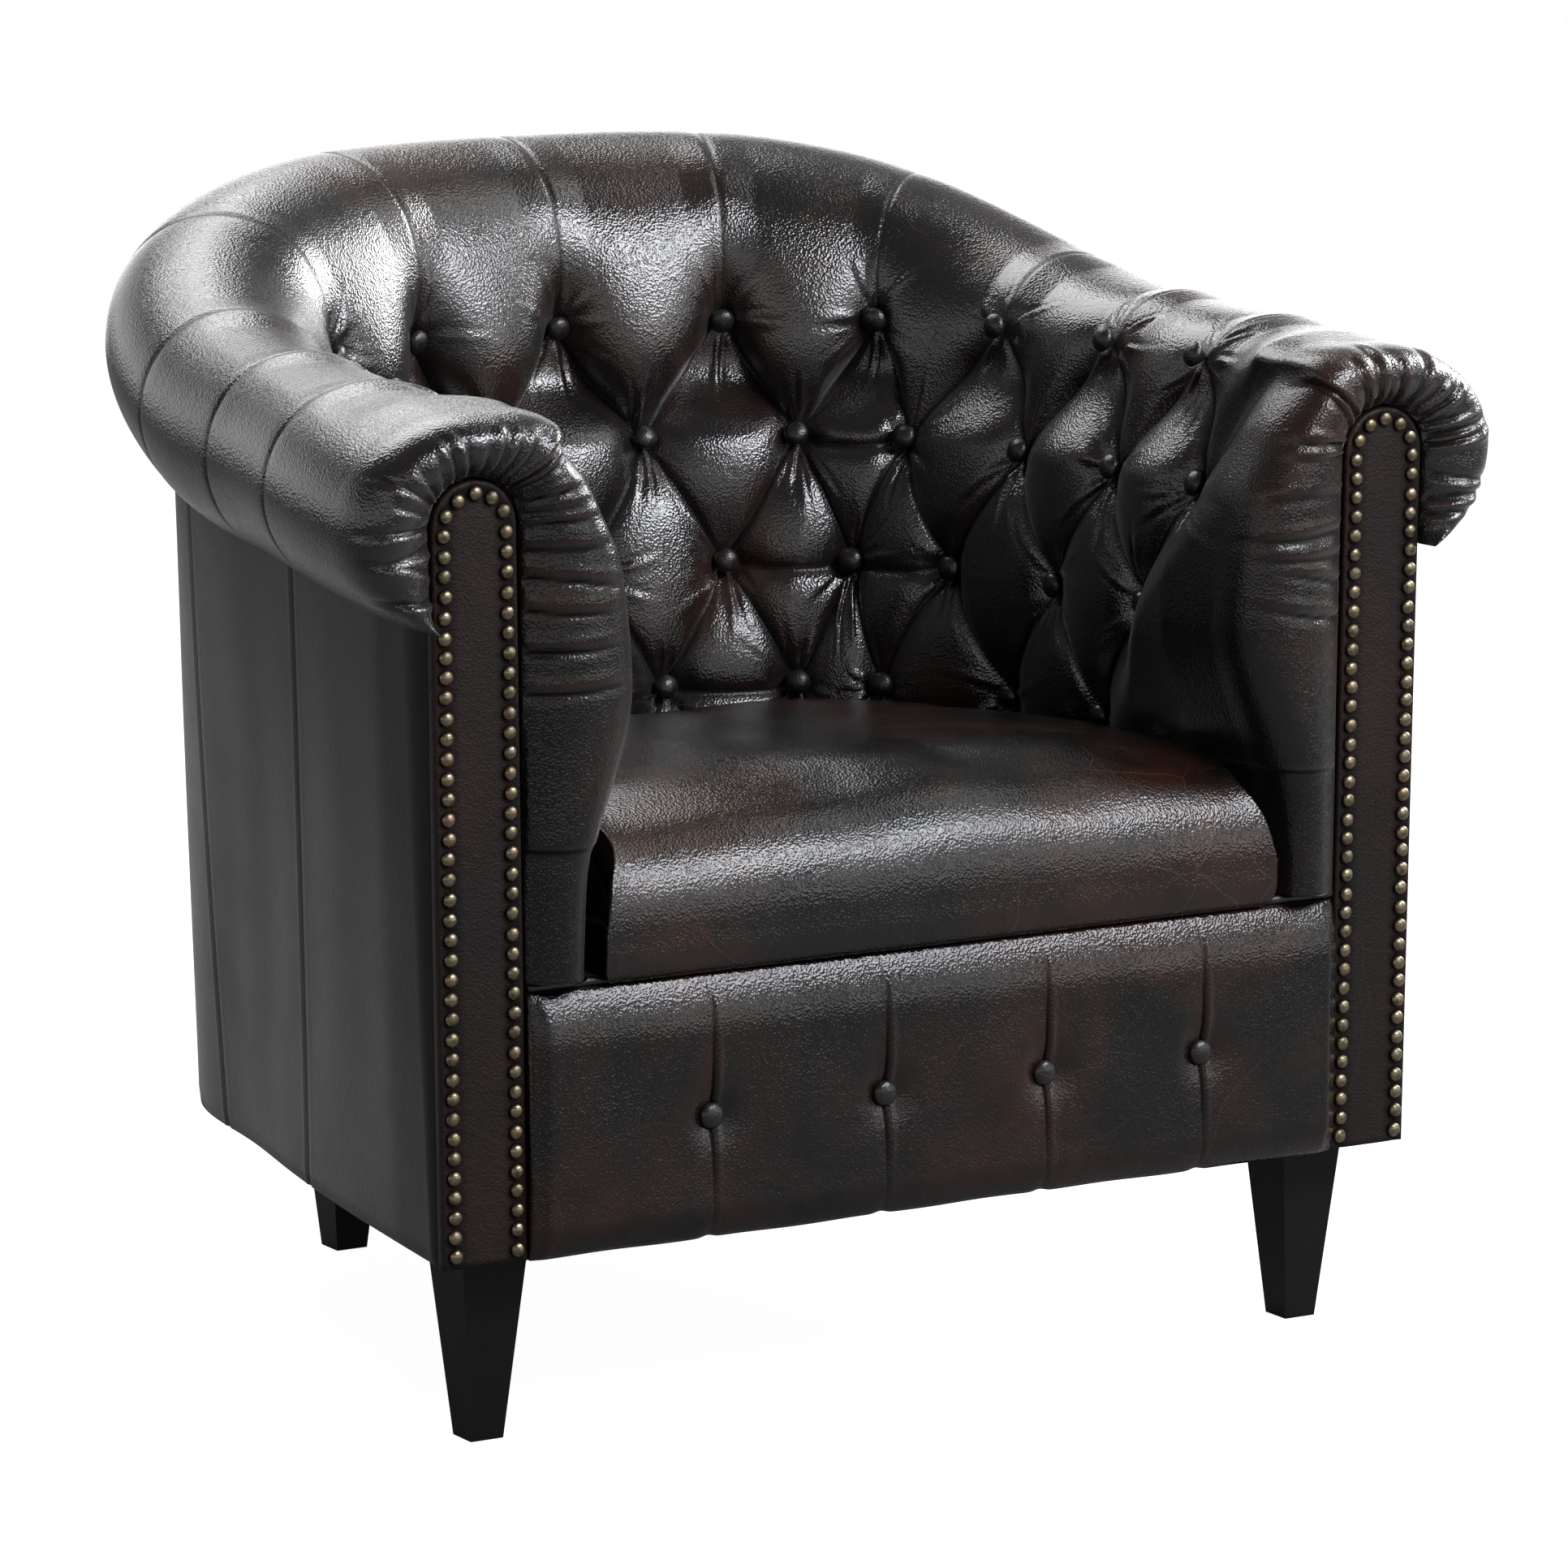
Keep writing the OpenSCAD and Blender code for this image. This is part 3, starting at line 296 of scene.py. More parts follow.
# Meshes
def mesh_object(name, points, faces, **layers):
    mesh = bpy.data.meshes.new(name)
    mesh.from_pydata((np.asarray(points, float) * MM).tolist(), [], faces)
    for key, values in layers.items():
        layer = mesh.attributes.new(key, "FLOAT", "POINT")
        layer.data.foreach_set("value", np.asarray(values, np.float32))
    bm = bmesh.new()
    bm.from_mesh(mesh)
    bmesh.ops.recalc_face_normals(bm, faces=bm.faces)
    bm.to_mesh(mesh)
    bm.free()
    mesh.polygons.foreach_set("use_smooth", [True] * len(mesh.polygons))
    obj = bpy.data.objects.new(name, mesh)
    bpy.context.scene.collection.objects.link(obj)
    return obj


def grid_faces(columns, rows, wrap_rows=False, wrap_columns=False, split=None):
    faces = []
    for i in range(columns if wrap_columns else columns - 1):
        i1 = (i + 1) % columns
        for j in range(rows if wrap_rows else rows - 1):
            j1 = (j + 1) % rows
            a, b, c, d = i * rows + j, i1 * rows + j, i1 * rows + j1, i * rows + j1
            turn = split(i, j) if split else 0
            if turn == 1:
                faces += [(a, b, c), (a, c, d)]
            elif turn == 2:
                faces += [(a, b, d), (b, c, d)]
            else:
                faces.append((a, b, c, d))
    return faces


def tube_faces(columns, rows):
    """Faces of a grid whose rows close into rings, with both ends capped."""
    caps = [tuple(first + k for k in range(rows)) for first in (0, (columns - 1) * rows)]
    return grid_faces(columns, rows, wrap_rows=True) + caps


def grid_normals(points):
    du, dv = np.gradient(points, axis=0), np.gradient(points, axis=1)
    n = np.cross(du, dv)
    return n / np.maximum(np.linalg.norm(n, axis=-1, keepdims=True), 1e-9)


# The tufted leather: columns run round the horseshoe, rows up the face and over the roll
FINE = 64
ROLL_ROWS = 104
RIM_COLUMNS = 26
HOLLOW_COUNT = 9
RIM_TURN = math.radians(145)
RIM_REACH = RIM_Y + NOSE_D
SEAM_Q = (ROW_H - 379) / ROW_PITCH
GATHER_FROM, GATHER_START, GATHER_TOP, GATHER_STOP = 4.6, 190, 345, 26
FOOT_TURN, RIM_EDGE_Y, RIM_GAP = 5.9, 3.2, 1.1
TAUT_TURN, FLUTE_FULL, FLUTE_FOOT, TAUT_ROUNDS = math.radians(57), 10, 22, 160
BACK_END, BACK_FADE = 1.9, 1.3
RIM_SHARE, RIM_POWER = 0.97, 1.25


def hollow_ring(p):
    """The points behind the leather, from the lip over the arch to the foot."""
    zc = line_z(p) + HOLLOW_RISE - HOLLOW_R
    flat = np.ones(np.shape(p))
    ring = [(p, flat * (PANEL_N + GAP), crease_z(p))]
    for j in range(HOLLOW_COUNT - 2, 0, -1):
        a = math.radians((j - 1) * 30)
        r = HOLLOW_N + ARCH_N if j == 1 else HOLLOW_R
        ring.append((p, flat * (ARCH_N - r * math.cos(a)), zc + HOLLOW_R * math.sin(a)))
    return ring + [(drifted(p, FOOT_Q), flat * -HOLLOW_N, flat * PAD_FOOT_Z)]


def taut_flutes(n, z, p, q, angles):
    """Leather pulled from the roll down to the second row of buttons, full between its folds."""
    n, z = n.copy(), z.copy()
    back = 1 - ease((np.abs(p) - BACK_END) / BACK_FADE)
    for i in np.nonzero(back > 0)[0]:
        gap = abs(off_whole(p[i]))
        top = float(row_angle(p[i])) + TAUT_TURN
        over = np.nonzero(q < 0)[0]
        top_n, top_z = (np.interp(top, angles[i, over], v[i, over]) for v in (n, z))
        rows = np.nonzero((q < 2 * gap) & (angles[i] < top))[0]
        u = drifted(np.full(len(rows), p[i]), q[rows])
        base = np.where(q[rows] < 0, -roll_rn(u) * np.cos(angles[i, rows]), -pit_n(u, np.maximum(q[rows], 0)))
        s = clamp01((top_z - z[i, rows]) / (top_z - (ROW_H - ROW_PITCH)))
        crest = mix(top_n, -(pit_n(u, 1.0) + FLUTE_FOOT), s) - FLUTE_FULL * 4 * s * (1 - s)
        n[i, rows] = mix(n[i, rows], mix(base, crest, quilt(p[i], q[rows])), back[i])
    return n, z


def relaxed(points, p, q):
    """Smooths the flutes along their length; seams, folds and buttons stay put."""
    gap = off_whole(p)[:, None]
    flute = clamp01((gap - clamp01(q)[None, :] / 2) * 5) * (1 - ease((np.abs(p) - 5.3) / 0.4))[:, None]
    window = ease((1.0 - q) / 0.4) * ease((q + 1.3) / 0.4)
    weight = (flute * window[None, :])[:, 1:-1, None] * 0.5
    rows = np.nonzero((q > -1.5) & (q < 1.1))[0]
    lo, hi = rows[0], rows[-1] + 1
    part, weight = points[:, lo:hi].copy(), weight[:, lo:hi - 2]
    arm = (0.25 + 0.75 * ease((np.abs(p) - BACK_END) / BACK_FADE))[:, None, None]
    for _ in range(TAUT_ROUNDS):
        part[:, 1:-1] += weight * arm * (part[:, 2:] + part[:, :-2] - 2 * part[:, 1:-1])
    points[:, lo:hi] = part
    return points


def rims(n, z, edge, shares, ys):
    """Columns from the leather's last seam round the front to the facing, on both arms."""
    left, right = ([lifted(np.full(n.shape, side * 6.0), mix(n, edge[0], s), mix(z, edge[1], s), y)
                    for s, y in zip(shares, ys)] for side in (-1, 1))
    return np.array(left[::-1]), np.array(right)


def leather_grid():
    p = np.arange(-6 * FINE, 6 * FINE + 1) / FINE
    q = np.concatenate([[FOOT_Q], np.arange(math.floor(FOOT_Q * FINE / 2), -1, -1) / (FINE / 2)])
    t = np.arange(1, ROLL_ROWS + 1) / ROLL_ROWS
    pg, qg = np.meshgrid(p, q, indexing="ij")
    pt, tg = np.meshgrid(p, t, indexing="ij")
    u, n, z = face_nz(pg, qg)
    rn, rz = roll_nz(pt, tg)
    turn = np.concatenate([row_angle(pg) - 0.5, mix(row_angle(pt), end_angle(pt), tg)], 1)
    ahead = np.concatenate([q, -t * 3])
    n, z = taut_flutes(np.concatenate([n, rn], 1), np.concatenate([z, rz], 1), p, ahead, turn)
    body = relaxed(place(np.concatenate([u, pt], 1), n, z), p, ahead)
    end_n, end_z = n[-1], np.maximum(z[-1], PAD_FOOT_Z + FOOT_TURN)
    steps = np.arange(1, RIM_COLUMNS + 1) / RIM_COLUMNS
    a = RIM_TURN * steps
    shares = RIM_SHARE * ((1 - np.cos(a)) / (1 - math.cos(RIM_TURN))) ** RIM_POWER
    left, right = rims(end_n, end_z, facing_edge(end_n, end_z, GAP), shares, RIM_Y - RIM_REACH * np.sin(a))
    grid = np.concatenate([left, body, right])
    hollow = np.stack([place(*at) for at in hollow_ring(p)], 1)
    hn, hz = (np.array([at[k] for at in hollow_ring(6.0)]) for k in (1, 2))
    hz[-1] = PAD_FOOT_Z + FOOT_TURN
    left, right = rims(hn, hz, facing_edge(hn, hz, RIM_GAP), steps, mix(RIM_Y, RIM_EDGE_Y, steps))
    return p, q, t, grid, np.concatenate([left, hollow, right])


def wrinkle(dx, dz, angle, start, length, width, height, bend=0.0):
    """One soft ridge with a crease beside it, from a button outwards. Sizes in millimetres."""
    along = dx * math.cos(angle) + dz * math.sin(angle)
    across = -dx * math.sin(angle) + dz * math.cos(angle) - bend * along**2 / 100
    window = ease((along - start) / 6) * (1 - ease((along - 0.35 * length) / (0.65 * length)))
    wide = width * (0.6 + 0.8 * clamp01(along / length))
    return height * window * (bell(across, wide) - 0.9 * bell(across - 1.5 * wide, 0.6 * wide))


def button_places():
    places = []
    for q, (first, last) in enumerate([(0, 5), (0.5, 5.5), (0, 5), (0.5, 4.5)]):
        for p in np.arange(first, last + 0.1):
            places += [(side * p, q) for side in ((-1, 1) if p > 0 else (1,))]
    return places


# Painted shade along the folds, worn lines beside them, and creases that join two buttons of a row: first and
# last button, row
SHADE_LINE_W, WORN_AT, WORN_W = 1.5, 7, 3.5
CREASE_SAG, CREASE_D, CREASE_W, CUT_D, CUT_W = 12, 5.0, 8, 2.2, 2
CREASES = [(1.5, 2.5, 1), (1, 2, 2), (2, 3, 2), (0.5, 1.5, 3), (-2, -1, 2), (-1.5, -0.5, 3)]


def marked(layer, value, at=...):
    """Raises a layer's shares to a value, on the whole grid or on some of its columns."""
    layer[at] = np.maximum(layer[at], value)


def fold_marks(P, Q, face, rise, fold, worn):
    """Painted shade along the diagonal folds and the roll's seams, worn lines beside the folds, and the
    creases of CREASES with painted shade and wear along them.
    """
    pitch = pitch_at(drifted(P, np.maximum(Q, 0)), np.maximum(Q, 0))
    strength = (1 - plain_share(P, Q)) * face
    for sign in (1, -1):
        dist = off_whole(P + sign * Q / 2) / np.sqrt(1 / pitch**2 + 1 / (2 * ROW_PITCH) ** 2)
        # painted shade along each diagonal fold
        marked(fold, bell(dist, SHADE_LINE_W) * strength)
        marked(worn, bell(dist - WORN_AT, WORN_W) * strength * 0.5)
    # painted shade in the roll's seam grooves
    marked(fold, 0.8 * bell(off_whole(P), SEAM_W) * (Q < 0) * (np.abs(P) < SEAMS_END))
    for first, last, row in CREASES:
        along = (P - first) / (last - first)
        inside = ease(along / 0.1) * ease((1 - along) / 0.1) * face
        d = (Q - row) * ROW_PITCH - CREASE_SAG * along * (1 - along)
        rise -= (CREASE_D * np.exp(-np.abs(d) / CREASE_W) + CUT_D * np.exp(-np.abs(d) / CUT_W)) * inside
        # painted shade along the crease
        marked(fold, bell(d, 1.4) * inside)
        marked(worn, 0.5 * bell(d + 6, 3) * inside)


# Wrinkles at a button: how many, how many of them run down, the last that runs up in the top row
PUCKERS, DOWNWARDS, UPWARDS, PUCKER_REACH, PUCKER_R = 16, 8, 12, 0.85, 9
PUCKER_START, PUCKER_LENGTH, PUCKER_WIDTH, PUCKER_RISE = 6, (22, 66), (1.5, 3.2), (0.6, 1.9)


def puckers(P, up, rise, fold, worn):
    """Wrinkles that run out from each button: most of them downwards, and up as well in the top row."""
    for bp, bq in button_places():
        ix = np.nonzero(np.abs(P[:, 0] - bp) < PUCKER_REACH)[0]
        dx = (P[ix] - bp) * pitch_at(drifted(bp, bq), bq)
        dz = up[ix] + bq * ROW_PITCH
        local = np.zeros(dx.shape)
        for k in range(PUCKERS):
            angle = rng.uniform(0, 2 * math.pi)
            if k < DOWNWARDS:
                angle = -math.pi / 2 + rng.normal(0, 0.55)
            if bq == 0 and DOWNWARDS <= k < UPWARDS:
                angle = math.pi / 2 + rng.normal(0, 0.5)
            start = PUCKER_START + rng.uniform(0, PUCKER_START)
            local += wrinkle(dx, dz, angle, start, rng.uniform(*PUCKER_LENGTH), rng.uniform(*PUCKER_WIDTH),
                             rng.uniform(*PUCKER_RISE), rng.normal(0, 0.3))
        rise[ix] += local
        # painted shade in the hollow round each button
        marked(fold, 0.85 * bell(np.hypot(dx, dz), PUCKER_R), ix)
        marked(worn, clamp01(local) * 0.6, ix)


# Gathers of an arm front, those over the arch and those below it: distance from one to the next, and length
ARCH_STEP, FRONT_STEP, ARCH_REACH, FRONT_REACH = (11, 23), (17, 30), (34, 88), (60, 105)
GATHER_D, GATHER_W, GATHER_SWAY, GATHER_SLANT = (2.2, 4.6), 2.3, 5, 0.13


def gathers(P, grid, rise, fold, worn):
    """Creases of the arm fronts, which run out from the facing's edge."""
    out = np.zeros(P.shape)
    span = np.linalg.norm(np.diff(grid, axis=0), axis=-1)
    half = len(P) // 2
    out[half:-1] = np.cumsum(span[half:][::-1], 0)[::-1]
    out[1:half] = np.cumsum(span[:half - 1], 0)
    for side in (-1, 1):
        seam = grid[RIM_COLUMNS if side < 0 else -1 - RIM_COLUMNS]
        ring = np.concatenate([[0], np.cumsum(np.linalg.norm(np.diff(seam, axis=0), axis=-1))])
        ix = np.nonzero((P[:, 0] * side) > GATHER_FROM)[0]
        places, s = [], GATHER_START
        while s < ring[-1] - GATHER_STOP:
            places.append(s)
            s += rng.uniform(*(ARCH_STEP if s > GATHER_TOP else FRONT_STEP))
        for s in places:
            reach = rng.uniform(*(FRONT_REACH if s < GATHER_TOP else ARCH_REACH))
            deep = rng.uniform(*GATHER_D)
            sway, slant = rng.uniform(-GATHER_SWAY, GATHER_SWAY), rng.normal(0, GATHER_SLANT)
            d = ring[None, :] - s - sway * np.sin(out[ix] / 30) - slant * out[ix]
            share = (1 - ease((out[ix] - 0.35 * reach) / (0.65 * reach))) * ease(out[ix] / 3)
            rise[ix] += deep * (0.55 * bell(d - 6, 4) - np.exp(-np.abs(d) / GATHER_W)) * share
            # painted shade along each gather's crease
            marked(fold, bell(d, 1.5) * share, ix)
            marked(worn, bell(d - 5, 3) * share, ix)


def front_seam(P, Q, rise, fold, worn):
    """The seam across the arm fronts; the smooth leather below it lies a little deeper."""
    under = (Q - SEAM_Q) * ROW_PITCH
    front = ease((np.abs(P) - 5.3) / 0.15)
    rise += front * (-1.8 * ease(under / 3) - 1.2 * bell(under, 1.4)) * (Q >= 0)
    # painted shade along the seam's step
    marked(fold, front * bell(under - 0.6, 1))
    marked(worn, front * bell(under + 2.5, 1.6))


def leather_faces(p, q, t, columns, size):
    """Faces of the closed rings: split along the folds, and capped at both fronts."""
    def split(i, j):
        c = i - RIM_COLUMNS
        if not (0 <= c < 12 * FINE and 1 <= j < len(q) - 1):
            return 0
        for sign in (1, -1):
            for turn, ends in ((1, (p[c], p[c + 1])), (2, (p[c + 1], p[c]))):
                if all(off_whole(end + sign * row / 2) < 1e-6 for end, row in zip(ends, q[j:j + 2])):
                    return turn
        return 0

    faces = grid_faces(columns, size, wrap_rows=True, split=split)
    coarse = np.concatenate([np.maximum(12 - 3 * q, 0), 12 + 11 * t])
    back = [size - 1 - sum(c > m for m in (6, 11, 12, 13, 15, 17, 18, 22)) for c in coarse]
    for first in (0, (columns - 1) * size):
        for j in range(len(coarse) - 1):
            faces.append((first + j, first + j + 1, first + back[j]))
            if back[j + 1] != back[j]:
                faces.append((first + j + 1, first + back[j + 1], first + back[j]))
    return faces


def tufted_leather():
    """The grid of the leather, raised along its normals by folds, wrinkles, gathers and seams."""
    p, q, t, grid, hollow = leather_grid()
    normal = grid_normals(grid)
    edge = np.full(RIM_COLUMNS, 6.0)
    P, Q = np.meshgrid(np.concatenate([-edge, p, edge]), np.concatenate([q, -t * 3]), indexing="ij")
    step = np.linalg.norm(np.diff(grid, axis=1), axis=-1)
    up = np.concatenate([np.zeros((len(P), 1)), np.cumsum(step, 1)], 1)
    up = up - up[:, len(q) - 1:len(q)]
    up[:, :len(q)] = -q * ROW_PITCH
    rise, fold, worn = (np.zeros(P.shape) for _ in range(3))
    fold_marks(P, Q, (Q >= 0) & (np.abs(P) < 5.99), rise, fold, worn)
    puckers(P, up, rise, fold, worn)
    gathers(P, grid, rise, fold, worn)
    front_seam(P, Q, rise, fold, worn)
    calm = ease((np.abs(P) - 5.2) / 0.4) * ease((Q + 0.4) / 0.6)
    rise[:, :2] = rise[:, -3:] = 0
    rise[[0, -1]] = 0
    outwards = np.sign(np.sum(normal[len(P) // 2, 40] * np.array([0, -1, 0.2])))
    ring = np.concatenate([grid + normal * outwards * rise[..., None], hollow], 1)
    pad = np.zeros((len(P), HOLLOW_COUNT))
    # layers for the material: painted shade in creases and hollows, wear, and the calm arm fronts
    layers = {key: np.concatenate([values, pad], 1).ravel()
              for key, values in (("fold", fold), ("worn", worn), ("calm", calm))}
    faces = leather_faces(p, q, t, *ring.shape[:2])
    return mesh_object("tufted_leather", ring.reshape(-1, 3), faces, **layers)


# Round pieces
def many_turned(name, profile, places, segments):
    """A profile of (radius, height) turned about the axis at each place."""
    points, faces, rows = [], [], len(profile)
    for at, axis in places:
        first = len(points)
        axis = np.array(axis, float) / np.linalg.norm(axis)
        side = np.cross(axis, [0, 0, 1] if abs(axis[2]) < 0.9 else [1, 0, 0])
        side /= np.linalg.norm(side)
        other = np.cross(axis, side)
        for a in 2 * math.pi * np.arange(segments) / segments:
            ray = side * math.cos(a) + other * math.sin(a)
            points += [at + ray * r + axis * h for r, h in profile]
        faces += [tuple(first + k for k in f) for f in grid_faces(segments, rows, wrap_columns=True)]
        faces += [tuple(first + k * rows + end for k in range(segments)) for end in (0, rows - 1)]
    return mesh_object(name, points, faces)


def dome_profile(d, h, root_r, root_h):
    r = d / 2
    lip = [(root_r, -root_h), (r * 0.93, -1.2), (r, -0.5), (r, 0.2)]
    return lip + [(r * math.cos(a), h * math.sin(a)) for a in np.linspace(0.28, 1.5, 7)]


def quilt_buttons():
    places = []
    for p, q in button_places():
        u = drifted(p, q)
        before, after = (off(line_at, u + step, -pit_n(u + step, q)) for step in (-STEP, STEP))
        fall = pit_n(u, q + 0.2) - pit_n(u, q - 0.2)
        tilt = row_angle(u) * 0.4 if q < 1 else math.atan(fall / (0.4 * ROW_PITCH))
        x, y = (after - before) / np.linalg.norm(after - before)
        axis = np.array([y * math.cos(tilt), -x * math.cos(tilt), math.sin(tilt)])
        at = place(u, -pit_n(u, q), ROW_H - q * ROW_PITCH)
        places.append((at + axis * (2 + BUTTON_D / 2), axis))
    return many_turned("quilt_buttons", dome_profile(BUTTON_D, BUTTON_H + 0.6, 3, BUTTON_D / 2), places, 24)


# Nails and facings
def on_arch(r, share, leg, foot_z):
    """Point at a share of the line that runs up one leg of a facing, round its arch and down the other."""
    arc = math.pi * r
    s = share * (2 * leg + arc)
    if leg <= s <= leg + arc:
        a = (s - leg) / r
        return FACING_TOP_X - r * math.cos(a), ARCH_Z + r * math.sin(a)
    k, side = (s / leg, -1) if s < leg else ((2 * leg + arc - s) / leg, 1)
    return mix(FACING_FOOT_X, FACING_TOP_X, k) + side * r, mix(foot_z, ARCH_Z, k)


def nail_places():
    r, foot_z = FACING_R - NAIL_INSET, LEG_H + NAIL_INSET
    leg = math.hypot(FACING_LEAN, ARCH_Z - foot_z)
    count = round((2 * leg + math.pi * r) / NAIL_PITCH)
    return [on_arch(r, i / count, leg, foot_z) for i in range(count + 1)]


def facing_nails(name, side):
    jitter = np.random.default_rng(11 + side)
    places = [((side * x + jitter.normal(0, 0.25), FRONT_Y, z + jitter.normal(0, 0.3)),
               (jitter.normal(0, 0.06), -1, jitter.normal(0, 0.06))) for x, z in nail_places()]
    r, foot = NAIL_D / 2, 0.15
    profile = [(r, -0.6), (r, foot)]
    profile += [(r * math.cos(a), foot + NAIL_H * math.sin(a)) for a in np.linspace(0.12, 1.5, 7)]
    return many_turned(name, profile, places, 18)


def facing(name, side):
    """A padded strip with a rounded, welted edge. Rows run from the middle line out to the back."""
    columns, leg = 240, ARCH_Z - LEG_H
    shares = [0.0, 0.2, 0.4, 0.55, 0.66, 0.73, 0.80, 0.87, 0.93, 0.97, 1.0, 1.0, 1.0]
    depths = [0.0, 0.0, 0.0, 0.0, 0.3, 0.8, 0.3, 0.2, 0.5, 1.4, 3.4, 6.0, FACING_T]
    nails = np.array(nail_places())
    points, worn, fold = [], [], []
    for i in range(columns):
        edge = np.array(on_arch(FACING_R, i / (columns - 1), leg, LEG_H))
        z_mid = min(edge[1], ARCH_Z)
        mid = np.array([mix(FACING_FOOT_X, FACING_TOP_X, (z_mid - LEG_H) / leg), z_mid])
        for s, d in zip(shares, depths):
            x, z = mix(mid, edge, s)
            near = np.min(np.hypot(nails[:, 0] - x, nails[:, 1] - z))
            dent = 1.1 * bell(near, NAIL_D * 0.72) if s < 0.95 else 0
            points.append((side * x, FRONT_Y + d * 0.8 + dent - 0.5 * bell(s - 0.93, 0.03) + 0.2, z))
            # painted shade in the dents round the nails
            fold.append(min(1, dent * 0.9))
            worn.append(bell(s - 0.96, 0.03))
    rows = len(shares)
    ends = [*range(rows), *range(columns * rows - 1, (columns - 1) * rows - 1, -1)]
    faces = grid_faces(columns, rows) + [tuple(i * rows + rows - 1 for i in range(columns)), tuple(ends)]
    return mesh_object(name, points, faces, fold=fold, worn=worn)


# Outer shell: smooth panels with seams between them
SHELL_END, SHELL_COLUMNS, SHELL_ROWS, SHELL_TOP = 5.85, 391, 44, 8
GROOVE_D, GROOVE_W, WELT_D, WELT_AT, WELT_W = 1.3, 1 / 55, 0.5, 0.035, 1 / 60
BELLY, RIPPLE, FOOT_TUCK = 1.4, 0.35, 0.9


def outer_shell():
    us = np.linspace(-SHELL_END, SHELL_END, SHELL_COLUMNS)
    low, high = base_at(us), off(line_at, us, PANEL_N)
    columns = list(zip(us, low, outward(base_at, us), high, outward(line_at, us), crease_z(us)))
    end_x, end_z = off(line_at, 6.0, PANEL_N)[0], crease_z(6.0)
    for side, at in ((-1, 0), (1, len(columns) + 1)):
        out = np.array([side, 0.0])
        columns.insert(at, (6.0 * side, np.array([side * BASE_W / 2, BOARD_Y]), out,
                            np.array([side * end_x, BOARD_Y]), out, end_z))
    points, fold = [], []
    for u, lo, lo_out, hi, hi_out, z in columns:
        seam = min(abs(abs(u) - PANEL_SEAM), abs(abs(u) - SIDE_SEAM))
        groove = GROOVE_D * bell(seam, GROOVE_W) - WELT_D * bell(seam - WELT_AT, WELT_W)
        for s in np.linspace(0, 1, SHELL_ROWS):
            wave = BELLY * math.sin(u * 2.3 + 1.3) + RIPPLE * math.sin(u * 9 + 2 * math.sin(s * 3))
            inset = groove - wave * math.sin(math.pi * s) + FOOT_TUCK * (s == 0)
            points.append((*(mix(lo, hi, s) - mix(lo_out, hi_out, s) * inset), mix(LEG_H, z, s)))
            # painted shade along the welted seams and in a band beside the facings
            fold.append(max(bell(seam, WELT_W), 0.5 * float(ease((abs(u) - 5.42) / 0.2))))
        inner, top = hi - hi_out * PANEL_T, z + SHELL_TOP
        points += [(*hi, top), (*inner, top), (*inner, z), (*(lo - lo_out * PANEL_T), LEG_H)]
        fold += [0] * 4
    return mesh_object("outer_shell", points, tube_faces(len(columns), SHELL_ROWS + 4), fold=fold)


# Front border
CHANNELS = [-0.58, -0.157, 0.243, 0.643]
BORDER_HALF_W = BASE_W / 2 - FACING_W - GAP
BORDER_BULGE, CHANNEL_D, PIT_R, BORDER_EDGE = 11, 5, 15, 2
BORDER_TOP, BORDER_FOOT, BORDER_COLUMNS, BORDER_ROWS = 38, 22, 260, 64
CAP_D, CAP_H, TIP, PULL = 10, 28, 1.5, 1.2
# Depth, offset and width of a channel's crease and of the laps beside it
SEWN = [(1.5, 0, 1.5), (0.9, 7, 6), (-0.9, -3.5, 2.2)]
BUTTON_Z, BORDER_H = 78, SEAT_H - LEG_H


def border_y(x, s):
    side = ease((BORDER_HALF_W - abs(x)) / (BORDER_EDGE * 5))
    top, foot = clamp01((1 - s) * BORDER_H / BORDER_TOP), clamp01(s * BORDER_H / BORDER_FOOT)
    bulge = (1 - 0.9 * (1 - top) ** 2) * (1 - 0.7 * (1 - foot) ** 2) * mix(0.5, 1, side)
    rise = (s * BORDER_H - BUTTON_Z) / PIT_R
    pit = sum(np.exp(-((x - c * BORDER_HALF_W) / PIT_R) ** 2 - rise**2) for c in CHANNELS)
    return FRONT_Y + BORDER_EDGE - (BORDER_BULGE + BORDER_EDGE) * bulge + CHANNEL_D * pit


